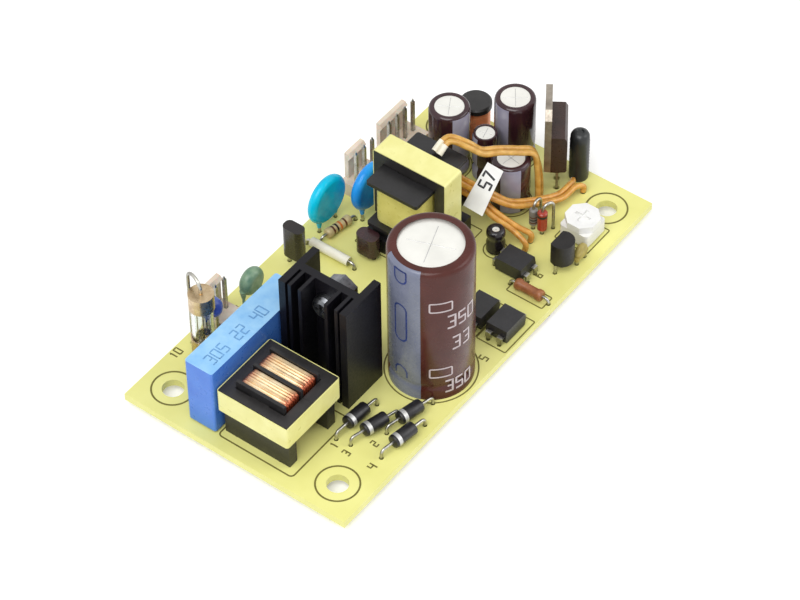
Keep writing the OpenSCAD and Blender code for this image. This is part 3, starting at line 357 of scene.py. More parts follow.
# Tracks differ a little in width, so that fewer of them share an edge
for i, j in sorted(joined):
    ahead = (lands[j] - lands[i]).normalized()
    side = Vector((-ahead.y, ahead.x)) * (0.5 + 0.003 * i)
    skin(tracks, [
        [
            (*(p + side), track_face), (*(p - side), track_face),
            (*(p - side), foil_top), (*(p + side), foil_top),
        ]
        for p in (lands[i] - ahead * overlap, lands[j] + ahead * overlap)
    ])
# The copper stops 0.3 mm short of the board's edge
edge = mm("circuit_board")[1].y - 0.3
for vert in tracks.verts:
    vert.co.y = max(-edge, min(edge, vert.co.y))
piece("copper_tracks", tracks, [etched], slot="solder")


# ---------------------------------------------------------------------------
# Screen print. Thin olive ink on the component side: a ring round each corner
# hole, the outlines of the larger parts, and a plain number beside some of them.
# Ink starts just clear of its surface; long lines are cut up to follow a round one
ink_foot, ink_face, ink_step = 0.02, 0.05, 0.5


def ink(bm, points, width, place, closed=False, finish_index=0):
    """A flat ink line along points on a surface that place() maps."""
    corners = [Vector(p) for p in points]
    path = []
    for a, b in zip(corners, corners[1:] + (corners[:1] if closed else [])):
        steps = max(1, math.ceil((b - a).length / ink_step))
        path += [a.lerp(b, k / steps) for k in range(steps)]
    path += [] if closed else corners[-1:]
    count = len(path)
    loops = []
    for i, point in enumerate(path):
        before = path[i - 1] if (i or closed) else point
        after = path[(i + 1) % count] if (i < count - 1 or closed) else point
        ahead = (after - before).normalized()
        side = Vector((-ahead.y, ahead.x)) * width / 2
        a, b = point + side, point - side
        loops.append([
            place(*a, ink_foot), place(*b, ink_foot), place(*b, ink_face), place(*a, ink_face)
        ])
    skin(bm, loops, finish_index, closed)


def on_board(x, y, h):
    """A point on the component side, h above it."""
    return Vector((x, y, board_top + h))


def circle(x, y, r, steps=48):
    """Points of a circle."""
    return [
        (x + r * math.cos(math.tau * k / steps), y + r * math.sin(math.tau * k / steps))
        for k in range(steps)
    ]


def rounded_rectangle(x0, y0, x1, y1, r, steps=5):
    """Corner points of a rectangle with round corners."""
    points = []
    for cx, cy, start in (
        (x1 - r, y1 - r, 0), (x0 + r, y1 - r, 90), (x0 + r, y0 + r, 180), (x1 - r, y0 + r, 270)
    ):
        for k in range(steps + 1):
            a = math.radians(start + 90 * k / steps)
            points.append((cx + r * math.cos(a), cy + r * math.sin(a)))
    return points


# Plain figures drawn with a pen on a 2 by 4 grid
FIGURES = {
    "0": (((0, 0), (2, 0), (2, 4), (0, 4), (0, 0)),),
    "1": (((0.4, 3.2), (1, 4), (1, 0)),),
    "2": (((0, 4), (2, 4), (2, 2), (0, 2), (0, 0), (2, 0)),),
    "3": (((0, 4), (2, 4), (2, 0), (0, 0)), ((0.6, 2), (1.75, 2))),
    "4": (((0, 4), (0, 2), (1.75, 2)), ((2, 4), (2, 0))),
    "5": (((2, 4), (0, 4), (0, 2), (2, 2), (2, 0), (0, 0)),),
    "6": (((2, 4), (0, 4), (0, 0), (2, 0), (2, 2), (0.25, 2)),),
    "7": (((0, 4), (2, 4), (0.8, 0)),),
}


def number(bm, text, x, y, height, width, place, finish_index=0):
    """Plain figures in a row from a corner."""
    for k, figure in enumerate(text):
        for stroke in FIGURES[figure]:
            points = [(x + (u + 3 * k) * height / 4, y + v * height / 4) for u, v in stroke]
            ink(bm, points, width, place, finish_index=finish_index)


# Epoxy ink: thin, matt and slightly see-through at the edges, so it looks olive.
silk_ink = finish("epoxy_ink_olive", "#77702f", "#5f5a25", 1.5, 0.7, grain=0.3)
silk = bmesh.new()
hole_x, hole_y, hole_ring = 42.55, 19.05, 4.07
thin, plain, bold = 0.24, 0.3, 0.34
for x in (-hole_x, hole_x):
    for y in (-hole_y, hole_y):
        ink(silk, circle(x, y, hole_ring), bold, on_board, closed=True)
bulk = middle("bulk_capacitor_sleeve")
ink(silk, circle(bulk.x, bulk.y, 8.75, 64), 0.28, on_board, closed=True)
ink(silk, rounded_rectangle(-46.3, -11.6, -29.2, 5.4, 0.8), plain, on_board, closed=True)
for node, gap in (
    ("output_capacitor_1", 0.4), ("output_capacitor_2", 0.4), ("output_capacitor_4", 0.4),
    ("control_capacitor", 0.45), ("output_choke_core", 0.5),
):
    low, high = mm(node)
    around = circle((low.x + high.x) / 2, (low.y + high.y) / 2, (high.x - low.x) / 2 + gap)
    ink(silk, around, thin, on_board, closed=True)
for x0, y0, x1, y1 in (
    (0.6, -25.0, 10.2, -18.4), (0.6, -18.2, 10.2, -12.6), (30.4, -22.9, 38.0, -15.3),
    (6.9, -3.2, 23.6, 14.8), (13.7, -24.1, 17.1, -15.9),
):
    ink(silk, rounded_rectangle(x0, y0, x1, y1, 0.3), thin, on_board, closed=True)
for text, x, y, height in (
    ("1", -36.2, -13.9, 1.6), ("2", -31.6, -19.5, 1.5), ("3", -36.4, -16.7, 1.5),
    ("4", -36.2, -22.5, 1.7), ("5", -3.2, -23.4, 1.7), ("10", -36.6, 23.3, 1.7),
    ("6", 20.0, -19.4, 1.5), ("7", -20.4, 21.0, 1.6), ("15", -14.6, 18.0, 1.5),
):
    number(silk, text, x, y, height, plain, on_board)
piece("screen_print", silk, [silk_ink], slot="laminate")


# ---------------------------------------------------------------------------
# Box capacitor across the mains. A film roll potted in a moulded blue case that
# stands on four small feet, with plain figures printed in blue on its paler top.
# Tinned leads: warm grey metal, slightly blotched, with a soft shine.
TIN = ("#c0beb6", "#96948c", 1.2, 0.3)


def on_leads(name, centre, half, angle, *look, rest=TIN, rest_metallic=1.0, **more):
    """A body's surface inside a box about its centre, and the rest outside: tinned leads
    unless it says otherwise."""
    material, tree = new_tree(name)
    place = put(tree, "TexCoord").outputs["Object"]
    shifted = put(tree, "VectorMath", {0: place, 1: Vector(centre) / 1000}, operation="SUBTRACT")
    squared = put(
        tree, "VectorRotate", {"Vector": shifted.outputs[0], "Angle": -math.radians(angle)},
        rotation_type="Z_AXIS",
    )
    far = put(tree, "VectorMath", {0: squared.outputs[0]}, operation="ABSOLUTE")
    beyond = put(
        tree, "VectorMath", {0: far.outputs[0], 1: Vector(half) / 1000}, operation="SUBTRACT"
    )
    axes = put(tree, "SeparateXYZ", {0: beyond.outputs[0]}).outputs
    widest = put(tree, "Math", {0: axes[0], 1: axes[1]}, operation="MAXIMUM")
    outside = put(tree, "Math", {0: widest.outputs[0], 1: axes[2]}, operation="MAXIMUM")
    inside = put(tree, "Math", {0: outside.outputs[0], 1: 0.0}, operation="LESS_THAN")
    mixed = put(tree, "MixShader", {
        0: inside.outputs[0],
        1: coat(tree, *rest, Metallic=rest_metallic),
        2: coat(tree, *look, **more),
    })
    put(tree, "OutputMaterial", {"Surface": mixed.outputs[0]})
    return material


# Half sizes are a hair larger than the body, so that its own faces lie inside them
hair = Vector((0.01, 0.01, 0.01))


def above_board(node, stand):
    """Centre and half size of the part of a node that starts a height above the board."""
    low, high = mm(node)
    low.z = board_top + stand
    return (low + high) / 2, (high - low) / 2 + hair


# Glass-filled polyester: strong mid blue, smooth with a slight orange-peel gloss.
# Its top is painted a paler blue: partly the faint print over it, partly painted light from above.
low, high = mm("x_capacitor")
paint(on_leads(
    "moulded_polyester_blue", (low + high) / 2, (high - low) / 2 + Vector((1, 1, -0.01)), 0,
    "#4e86de", "#3f74d2", 6, 0.32, grain=1.2, relief=0.003,
    # These pale tones paint the top: partly print, partly painted light from above.
    rest=("#9ccdf2", "#84bcec", 2.4, 0.4), rest_metallic=0.0,
), "x_capacitor")
tinned = finish("tinned_copper_wire", *TIN, Metallic=1.0)
case_low, case_high = mm("x_capacitor")


def on_case(x, y, h):
    """A point on the box capacitor's top; the ink's face is level with it."""
    return Vector((x, y, case_high.z + h - ink_face))


# Pad-printed ink: flat blue, a little darker than the pale top.
blue_print = finish("pad_printed_blue", "#78b0e4", "#6aa2dc", 1.2, 0.5, grain=0.2)
marks = bmesh.new()
for text, along in (("305", 2.2), ("22", 9.6), ("40", 15.2)):
    number(marks, text, case_low.x + along, case_low.y + 1.3, 2.4, plain, on_case)
piece("box_capacitor_print", marks, [blue_print], slot="blue_case")


# ---------------------------------------------------------------------------
# Mains filter choke. Two flat ferrite E halves meet inside a black nylon bobbin,
# taped round their outside; one coil of enamelled wire fills each side of it.
# Sintered ferrite: charcoal black, finely granular, with a dull shine.
ferrite = finish("sintered_ferrite", "#2b2928", "#1f1d1d", 2.5, 0.42, grain=0.25, relief=0.012)
# Glass-filled nylon: black, satin, slightly grey where the glass shows.
black_nylon = finish("moulded_nylon_black", "#201f20", "#171617", 3, 0.38, grain=0.5, relief=0.006)
# Polyester tape: cream yellow film over adhesive, shiny, faintly wavy along the wrap.
cream_tape = finish(
    "polyester_tape_cream", "#efeba2", "#e3de8c", 3.5, 0.32, grain=2.2, relief=0.01
)
paint(ferrite, "filter_core", "transformer_core", "output_choke_core")
paint(black_nylon, "filter_bobbin", "transformer_bobbin")
paint(cream_tape, "filter_tape", "transformer_tape")
paint(tinned, "filter_pins", "transformer_pins")


def ring(bm, place, outer, inner, low, high):
    """A closed band between an outer and an inner outline along a placing's Z axis."""
    skin(bm, [
        [place @ Vector((*o, low)), place @ Vector((*o, high)),
         place @ Vector((*i, high)), place @ Vector((*i, low))]
        for o, i in zip(outer, inner)
    ], closed=True)


def wound(bm, place, half_a, half_b, corner, start, turns, wire):
    """Close turns of round wire along a placing's Z axis."""
    loop = rounded_rectangle(-half_a, -half_b, half_a, half_b, corner)
    count = len(loop)
    tube(bm, [
        place @ Vector((*loop[k % count], start + wire * k / count))
        for k in range(turns * count + 1)
    ], wire / 2, 6)


# Enamelled copper with painted light: a pale golden painted highlight on the flat of each
# coil, and darker, redder painted shade round the bends. The wire is drawn coarse, so that
# single turns still show.
coil_wire = 0.58


def coil_painted_sheen(name, centre, straight, reach):
    """Enamelled wire whose painted highlight turns into redder painted shade between two distances
    along Y from a centre.
    """
    material, tree = new_tree(name)
    place = put(tree, "TexCoord").outputs["Object"]
    shifted = put(tree, "VectorMath", {0: place, 1: centre / 1000}, operation="SUBTRACT")
    off = put(tree, "VectorMath", {0: shifted.outputs[0]}, operation="ABSOLUTE")
    along = put(tree, "SeparateXYZ", {0: off.outputs[0]}).outputs[1]
    # 0 on the flat, which gets the painted highlight; 1 round the bends, which get the painted
    # shade
    bent = put(tree, "MapRange", {0: along, 1: straight / 1000, 2: reach / 1000})
    mixed = put(tree, "MixShader", {
        0: bent.outputs[0],
        1: coat(tree, "#f4dfba", "#e9c796", 2.4, 0.3, grain=0.8, Metallic=0.6),
        2: coat(tree, "#b85b3a", "#8c3c26", 2.4, 0.3, grain=0.8, Metallic=0.8),
    })
    put(tree, "OutputMaterial", {"Surface": mixed.outputs[0]})
    return material


for k, node in enumerate(("filter_winding_1", "filter_winding_2")):
    low, high = mm(node)
    centre = (low + high) / 2
    half = (high - low) / 2
    # Local X and Y lie along the board's Y and Z, the wound axis along the board's X
    place = Matrix((
        (0, 0, 1, centre.x), (1, 0, 0, centre.y), (0, 1, 0, centre.z), (0, 0, 0, 1),
    ))
    coil = bmesh.new()
    turns = int(2 * half.x / coil_wire) - 1
    wound(
        coil, place, half.y - coil_wire / 2, half.z - coil_wire / 2, 0.75,
        -turns * coil_wire / 2, turns, coil_wire,
    )
    ring(
        coil, place,
        rounded_rectangle(-half.y + 0.2, -half.z + 0.2, half.y - 0.2, half.z - 0.2, 0.7),
        rounded_rectangle(-half.y + 1.6, -half.z + 0.75, half.y - 1.6, half.z - 0.75, 0.3),
        -half.x, half.x,
    )
    copper = coil_painted_sheen(f"enamelled_copper_wire_{k + 1}", centre, half.y - 2.4, half.y - 0.2)
    piece(f"filter_coil_{k + 1}", coil, [copper], node)


# ---------------------------------------------------------------------------
# Fuse. A glass tube with pressed and plated brass caps, a thin wire melted into
# both of them, and an upper lead that loops over and runs down beside the tube.
# Lamp-drawn glass: clear and colourless with a bright skin.
glass = finish(
    "drawn_glass_clear", "#f7faf8", "#eef4f2", 4, 0.04, grain=2.0,
    **{"Transmission Weight": 1.0, "IOR": 1.5},
)
paint(glass, "fuse_tube")
low, high = mm("fuse_tube")
# Plated brass: tan, bright and a little tarnished; the leads are plain tinned wire.
paint(on_leads(
    "plated_brass_caps", (low + high) / 2, (2.6, 2.6, (high.z - low.z) / 2 + 0.7), 0,
    "#d8c4a2", "#b09672", 1.8, 0.28, grain=0.8, relief=0.008, Metallic=1.0,
), "fuse_caps")


# ---------------------------------------------------------------------------
# Small mains-side discs: a spark-gap capacitor like a blue bead and a dull green
# thermistor, both dipped so that the coat runs a little way down their leads.
# Dipped epoxy and phenolic: rounded, the blue one glossy, the green one duller.
paint(on_leads(
    "dipped_epoxy_violet_blue", *above_board("small_disc_capacitor", 6.9), 0,
    "#5f78cc", "#4158ae", 1.6, 0.24, grain=0.7, relief=0.01,
), "small_disc_capacitor")
paint(on_leads(
    "dipped_phenolic_green", *above_board("inrush_thermistor", 3.2), 0,
    "#86a182", "#5b7f66", 1.3, 0.4, grain=0.5, relief=0.015,
), "inrush_thermistor")


# ---------------------------------------------------------------------------
# Bridge diodes. Four axial diodes lie side by side with their tinned leads bent
# straight down; a silver band marks the cathode end of each black epoxy body.
# Moulded epoxy: blue-black and satin from the mould. Silver ink: pale, a little metallic.
black_epoxy = finish("moulded_epoxy_black", "#1f1e20", "#161517", 2, 0.36, grain=0.4, relief=0.006)
silver_ink = finish("silver_band_ink", "#d4d4d2", "#c2c2c0", 1, 0.4, grain=0.2, Metallic=0.6)


# Radius of a small part's wire lead
leg = 0.3


def lying(bm, x, y, angle, length, radius, height, pitch, profile=(), bands=()):
    """An axial part along X on two formed leads: finish 0 for its body, 1 for its
    leads, and further ones for the bands given as (from, to, finish)."""
    upright = Matrix.Translation((x, y, board_top)) @ Matrix.Rotation(math.radians(angle), 4, "Z")
    along_x = upright @ Matrix.Translation((0, 0, height)) @ Matrix.Rotation(math.pi / 2, 4, "Y")
    half = length / 2
    edge = min(0.3, radius * 0.3)
    turned(bm, along_x, profile or (
        (0, -half), (radius - edge, -half), (radius - edge * 0.3, -half + edge * 0.3),
        (radius, -half + edge), (radius, half - edge), (radius - edge * 0.3, half - edge * 0.3),
        (radius - edge, half), (0, half),
    ), 28)
    for low, high, index in bands:
        turned(bm, along_x, (
            (radius - 0.1, low), (radius + 0.02, low), (radius + 0.02, high), (radius - 0.1, high)
        ), 28, index, closed=True)
    reach = pitch / 2
    bend = leg * 3
    for s in (-1, 1):
        path = [(s * (half - 0.2), height), (s * (reach - bend), height)]
        path += [
            (s * (reach - bend + bend * math.sin(a)), height - bend + bend * math.cos(a))
            for a in (math.radians(15 * k) for k in range(1, 7))
        ]
        path.append((s * reach, -board_top))
        tube(bm, [upright @ Vector((u, 0, v)) for u, v in path], leg, 12, 1)


diodes = bmesh.new()
for x, y, angle in (
    (-28.7, -16.9, 165), (-22.6, -20.3, 167), (-27.7, -22.6, 171), (-29.0, -13.0, 175),
):
    lying(diodes, x, y, angle, 5.2, 1.33, 1.9, 11, bands=((1.2, 2.0, 2),))
piece("diodes", diodes, [black_epoxy, tinned, silver_ink], "bridge_diodes")


# ---------------------------------------------------------------------------
# Bulk capacitor. An impact-extruded aluminium can, scored across its top so it can
# vent, in a shrunk brown sleeve with a grey stripe down the negative side.
# Drawn aluminium: pale and bright, nearly white, with a soft grain.
aluminium = finish(
    "drawn_aluminium", "#f4f3ec", "#e8e7e0", 4, 0.36, grain=0.35, relief=0.002, Metallic=0.5
)
paint(aluminium, "bulk_capacitor_can")
# Shrunk vinyl: reddish brown, satin, slightly rippled round the can.
brown_vinyl = finish(
    "shrunk_vinyl_brown", "#552823", "#452019", 6, 0.26, grain=2.4, relief=0.02,
    **{"Specular IOR Level": 0.3},
)
# Printing inks: a blue-grey band, navy signs on it, and pale grey figures.
grey_print = finish("printed_stripe_grey", "#7a7f94", "#6b7084", 5, 0.28, grain=2.4, relief=0.02)
navy_print = finish("printed_navy", "#2f4080", "#26366c", 1.5, 0.3, grain=0.4)
pale_ink = finish("printed_pale_grey", "#c8bcbe", "#b3a5a8", 1.5, 0.35, grain=0.4)
low, high = mm("bulk_capacitor_sleeve")
centre = (low + high) / 2
wall = (high.x - low.x) / 2 - 0.05
tall = high.z - board_top
sleeve_side = [
    (wall, 0.05), (wall, 2.4), (wall - 0.1, 2.7), (wall - 0.25, 3.2), (wall - 0.25, 3.6),
    (wall - 0.1, 4.1), (wall, 4.4), (wall, tall - 1.2), (wall - 0.1, tall - 0.7),
    (wall - 0.36, tall - 0.3), (wall - 0.75, tall - 0.08), (wall - 1.15, tall - 0.05),
]
place = Matrix.Translation((centre.x, centre.y, board_top))
sleeve = bmesh.new()
turned(sleeve, place, sleeve_side + [
    (6.12, tall - 0.02), (6.1, tall - 0.1), (6.14, tall - 0.2), (wall - 0.5, tall - 0.25),
    (wall - 0.2, tall - 1.2), (wall - 0.15, 4.4), (wall - 0.4, 3.4), (wall - 0.15, 2.4),
    (wall - 0.15, 0.05),
], 96, closed=True)
piece("bulk_sleeve", sleeve, [brown_vinyl], "bulk_capacitor_sleeve")


def sector(bm, place, side, start, end, steps, finish_index=0, lift=0.05):
    """A printed stripe that follows a turned side between two angles in degrees."""
    loops = []
    for k in range(steps + 1):
        a = math.radians(start + (end - start) * k / steps)
        loops.append([
            place @ Vector(((r + h) * math.cos(a), (r + h) * math.sin(a), z))
            for h, part in ((lift, side), (0.02, side[::-1])) for r, z in part
        ])
    skin(bm, loops, finish_index)


# The side's print is measured round it from this angle
front = math.radians(215)


def on_sleeve(u, v, h):
    """A point on the bulk capacitor's side: millimetres round it and up it."""
    a = front + u / wall
    r = wall + h
    return Vector((centre.x + r * math.cos(a), centre.y + r * math.sin(a), board_top + v))


def on_stripe(u, v, h):
    """The same on the printed stripe, just clear of its ink."""
    return on_sleeve(u, v, h + 0.002)


stripe = bmesh.new()
sector(stripe, place, [(r, z) for r, z in sleeve_side][:-1], 143, 202.5, 24, lift=0.035)
cut_off_sign = [
    (-7.2, 4.6), (-7.2, 6.0), (-6.8, 6.9), (-5.9, 7.3), (-5.0, 6.9), (-4.5, 6.0), (-4.5, 4.6)
]
ink(stripe, cut_off_sign, bold, on_stripe, finish_index=1)
for v in (18.9, 34.0):
    sign = rounded_rectangle(-7.2, v - 4.7, -4.5, v + 4.7, 1.3, 6)
    shown = [(u, min(w, tall - 1.0)) for u, w in sign]
    ink(stripe, shown, bold, on_stripe, closed=True, finish_index=1)
piece("bulk_stripe", stripe, [grey_print, navy_print], slot="brown_sleeve")
printed = bmesh.new()
for v in (24.8, 7.3):
    border = rounded_rectangle(-0.1, v - 1.1, 4.1, v + 1.1, 0.25)
    ink(printed, border, plain, on_sleeve, closed=True)
for text, u, v, size in (("350", 3.2, 19.0, 3.1), ("33", 4.2, 13.0, 3.1), ("350", 2.8, 1.9, 2.9)):
    number(printed, text, u, v, size, 0.42, on_sleeve)
piece("bulk_print", printed, [pale_ink], slot="brown_sleeve")

# The vent: two scored lines that cross on the can's top
score = bmesh.new()
top_z = mm("bulk_capacitor_can")[1].z - 0.3
score_reach = 4.6
for angle in (20, 110):
    a = math.radians(angle)
    tube(score, [
        (centre.x + s * score_reach * math.cos(a), centre.y + s * score_reach * math.sin(a), top_z)
        for s in (-1, -0.5, 0, 0.5, 1)
    ], 0.09, 6)
# Scored aluminium: the same metal, darker where the line turns from the light.
grey_score = finish("scored_aluminium", "#c9c9c7", "#b7b7b5", 2, 0.45, grain=0.3, Metallic=0.6)
piece("bulk_vent_score", score, [grey_score], slot="drawn_can")


# ---------------------------------------------------------------------------
# Heatsink and switching transistor. A black anodised extrusion stands on two
# pins; the transistor is screwed flat to it over a grey silicone pad.
# Anodised aluminium: blue-black, satin, with faint drawn lines.
paint(on_leads(
    "anodised_aluminium_black", *above_board("heatsink", 0), 0,
    "#131218", "#0c0b10", 5, 0.4, grain=0.5, relief=0.01, **{"Specular IOR Level": 0.25},
), "heatsink")
# Zinc-plated steel: grey metal, painted a darker grey than bright plating.
zinc = finish(
    "zinc_plated_steel", "#8f9195", "#66696d", 1.5, 0.34, grain=0.4, relief=0.006, Metallic=1.0
)
paint(zinc, "heatsink_screw", "heatsink_nut")
# Filled silicone: pale grey, matt.
silicone = finish("silicone_pad_grey", "#b9bcbe", "#a8abad", 2, 0.7, grain=0.3, relief=0.01)
paint(silicone, "transistor_pad")


def package_body(node, stand, height):
    """Centre and half size of a power package's moulded body."""
    low, high = mm(node)
    low.z, high.z = board_top + stand, board_top + stand + height
    return (low + high) / 2, (high - low) / 2 + hair


paint(on_leads(
    "moulded_epoxy_transistor", *package_body("switch_transistor", 7.1, 9.2), 0,
    "#242326", "#19181b", 2, 0.4, grain=0.3, relief=0.012,
), "switch_transistor")


# ---------------------------------------------------------------------------
# Transformer. Ferrite E halves stand in a black bobbin; the winding is hidden
# under cream tape, and one more turn of tape holds the cores together.
# The winding's outer tape is a little greener and looser than the core's.
paint(finish(
    "wound_tape_cream", "#ece283", "#ddd26e", 3, 0.32, grain=1.4, relief=0.03
), "transformer_winding")


# ---------------------------------------------------------------------------
# Discs between the transformer and the rear edge: two safety capacitors dipped
# in epoxy, one turquoise and one blue.
# Dipped epoxy: strong colour under a glossy skin that sags slightly.
paint(on_leads(
    "dipped_epoxy_turquoise", *above_board("y_capacitor_1", 1.2), 0,
    "#12d6f6", "#08b8e0", 3, 0.16, grain=1.2, relief=0.006,
    **{"Specular IOR Level": 0.25},
), "y_capacitor_1")
paint(on_leads(
    "dipped_epoxy_blue", *above_board("y_capacitor_2", 1.8), 0,
    "#30a6fa", "#1f8ae6", 3, 0.16, grain=1.2, relief=0.006,
    **{"Specular IOR Level": 0.25},
), "y_capacitor_2")


# ---------------------------------------------------------------------------
# Snubber parts by the transformer: two dark dipped capacitors, a wire
# link in a white sleeve and a buff carbon resistor with its colour bands.
# Dipped epoxy: dark, glossy and uneven.
for node, stand, light, dark in (
    ("film_capacitor", 2.4, "#1d1513", "#120d0c"), ("clamp_capacitor", 1.2, "#3f2628", "#2c1a1d"),
):
    paint(on_leads(
        "dipped_epoxy_" + node, *above_board(node, stand), 0, light, dark, 1.5, 0.25, grain=0.6,
        relief=0.012,
    ), node)
low, high = mm("sleeved_jumper")
# Extruded sleeve: warm white, waxy.
paint(on_leads(
    "extruded_sleeve_white", (low + high) / 2, (1, (high.y - low.y) / 2 - 1.5, 9), 0,
    "#f5f2e2", "#ebe6d2", 2, 0.4, grain=0.5, relief=0.006,
), "sleeved_jumper")
# Lacquer: buff and satin, with flat ink bands.
buff = finish("lacquered_resistor_buff", "#cdb98a", "#bda776", 1.2, 0.35, grain=0.3, relief=0.006)
brown_band = finish("band_ink_brown", "#6b3a22", "#57301d", 0.8, 0.4, grain=0.2)
black_band = finish("band_ink_black", "#26211f", "#1c1817", 0.8, 0.4, grain=0.2)
orange_band = finish("band_ink_orange", "#d8742a", "#c46420", 0.8, 0.4, grain=0.2)
BANDS = ((-1.7, -1.3, 2), (-0.8, -0.4, 3), (0.1, 0.5, 4), (1.3, 1.7, 2))


def dog_bone(length, radius):
    """Profile of a resistor that is a little thicker at its ends."""
    half = length / 2
    return (
        (0, -half), (radius, -half + 0.02), (radius + 0.18, -half + 0.3),
        (radius + 0.18, -half + 1.0), (radius, -half + 1.35), (radius, half - 1.35),
        (radius + 0.18, half - 1.0), (radius + 0.18, half - 0.3), (radius, half - 0.02), (0, half),
    )


resistor = bmesh.new()
lying(resistor, 7.1, 18.95, -10, 6, 0.9, 1.3, 9, dog_bone(6, 0.88), BANDS)
piece(
    "buff_resistor", resistor, [buff, tinned, brown_band, black_band, orange_band],
    "clamp_resistor",
)


# ---------------------------------------------------------------------------
# Output leads. Stranded copper in amber film insulation, in pairs from the
# transformer's winding to their pads, with short bared and tinned ends.
def eased(route, steps=6):
    """Points of a smooth curve through a route."""
    points = [Vector(p) for p in route]
    path = []
    last = len(points) - 1
    for i in range(last):
        a, b, c, d = (points[max(0, min(last, i + k))] for k in (-1, 0, 1, 2))
        for k in range(steps + (i == last - 1)):
            t = k / steps
            path.append(0.5 * (
                2 * b + (c - a) * t + (2 * a - 5 * b + 4 * c - d) * t * t
                + (3 * b - a - 3 * c + d) * t * t * t
            ))
    return path


# Insulation: glossy translucent amber, darker where it lies thick over the strands.
amber, orange_film = (
    finish(
        name, light, dark, 1.6, 0.22, grain=0.5, relief=0.02,
        **{"Subsurface Weight": 0.15, "Subsurface Scale": 0.0008},
    )
    for name, light, dark in (
        ("extruded_insulation_amber", "#dcae58", "#b98532"),
        ("extruded_insulation_orange", "#e2ac52", "#c08436"),
    )
)
# Short ends of white fluoropolymer tube where the upper pair leaves the winding.
white_tube = finish("extruded_tube_white", "#f4efdc", "#e6dfc6", 1.5, 0.35, grain=0.6, relief=0.01)
# Radii of the leads' covering, of their tinned ends and of the white tube
cover_radius, core_radius, tube_radius = 0.59, 0.38, 0.66
# Half the distance between two leads: side by side on the way, and at their pads
together, apart = 0.65, 1.3
# Middle of each pair from winding to pad, with heights above the board
ROUTES = (
    ((20.2, 5.15, 18.75), (23.3, 4.55, 20.25), (25, 1.35, 19.25), (27, -0.6, 17), (30, -2.4, 16),
     (33.6, -4.5, 14.3), (36, -6, 12.9), (36.6, -6.8, 9), (36.6, -7.3, 3.6), (36.6, -7.3, 0.3)),
    ((23.8, 2.95, 10.3), (23.9, -1.65, 10.1), (25.2, -4.45, 8.8), (28, -6.9, 6), (33, -9, 3.6),
     (38, -11.1, 2.2), (42.1, -11.4, 2.1), (43.6, -11.6, 1.6), (43.6, -11.6, 0.3)),
    ((23.8, 2.95, 8.3), (23.8, -1.45, 8.1), (23.8, -5.45, 6), (24.9, -9.6, 3.6), (25.3, -12.6, 2.2),
     (25.3, -12.6, 0.3)),
)
for k, (route, insulation) in enumerate(zip(ROUTES, (amber, orange_film, orange_film))):
    pair = bmesh.new()
    for s in (-1, 1):
        line = []
        for i, point in enumerate(route):
            j = min(i, len(route) - 3)
            ahead = Vector(route[j + 1]) - Vector(route[max(j - 1, 0)])
            sideways = Vector((ahead.y, -ahead.x, 0)).normalized()
            gap = together if i < len(route) - 2 else apart
            line.append(Vector(point) + s * gap * sideways + Vector((0, 0, board_top)))
        path = eased(line)
        tube(pair, path, cover_radius, 12, 0)
        foot = path[-1]
        tube(pair, [foot, (foot.x, foot.y, 0.0)], core_radius, 10, 1)
        if k == 0:
            tube(pair, path[:5], tube_radius, 12, 2)
    piece(f"lead_pair_{k + 1}", pair, [insulation, tinned, white_tube], f"flying_leads_{k + 1}")

# The flag: white tape that is folded round the leads, drawn as a sheet that curls a little, with
# two stamped figures on its face.
# Vinyl tape: white and matt. Stamp ink: flat black.
vinyl = finish("vinyl_tape_white", "#f6f6f4", "#ececea", 2.5, 0.5, grain=0.5, relief=0.004)
stamp_ink = finish("stamp_ink_black", "#2c2c30", "#1c1c20", 1.5, 0.6, grain=0.3)
flag_turn = Euler([math.radians(a) for a in (14, -48, -6)]).to_matrix().to_4x4()
flag_place = Matrix.Translation((23.1, -3.8, board_top + 12.1)) @ flag_turn


def on_flag(x, y, h):
    """A point of the flag, which curls a little along its length."""
    return flag_place @ Vector((x, y, 0.1 + 0.1 * math.cos(x / 1.6) + h))


flag = bmesh.new()
skin(flag, [
    [on_flag(x, y, h) for y, h in ((-w, -0.1), (w, -0.1), (w, 0.0), (-w, 0.0))]
    for x, w in ((-4.7 + 0.5 * k, 2.15 - 0.02 * k) for k in range(20))
])
number(flag, "57", 0.2, -1.1, 2.4, 0.42, on_flag, finish_index=1)
piece("marker_flag", flag, [vinyl, stamp_ink], "lead_tag")


# ---------------------------------------------------------------------------
# Pin headers. Square tinned pins pressed into a natural nylon base, each with a
# springy lock behind its pins; two pins for the mains, three and four for outputs.
# Natural nylon: warm ivory, slightly waxy, light gets a little way in.
nylon = finish(
    "moulded_nylon_natural", "#e6dac8", "#d3c2ae", 3, 0.42, grain=0.5, relief=0.004,
    **{"Subsurface Weight": 0.2, "Subsurface Scale": 0.001},
)
for name in ("input", "control", "output"):
    paint(nylon, name + "_header_housing")
    paint(tinned, name + "_header_pins")


# ---------------------------------------------------------------------------
# Small electrolytic capacitors. Drawn cans crimped at the foot on a rubber bung,
# in plum sleeves with a pale stripe, their bare tops scored and slightly sunk.
# Shrunk vinyl: very dark plum or black, glossy, drawn in over the crimp.
plum = finish("shrunk_vinyl_plum", "#3e2228", "#30191f", 4, 0.16, grain=1.6, relief=0.015)
dark_plum = finish("shrunk_vinyl_black", "#221d20", "#191518", 4, 0.2, grain=1.6, relief=0.015)
lilac_print = finish("printed_stripe_lilac", "#a9a6b8", "#9693a8", 3, 0.22, grain=1.6, relief=0.01)


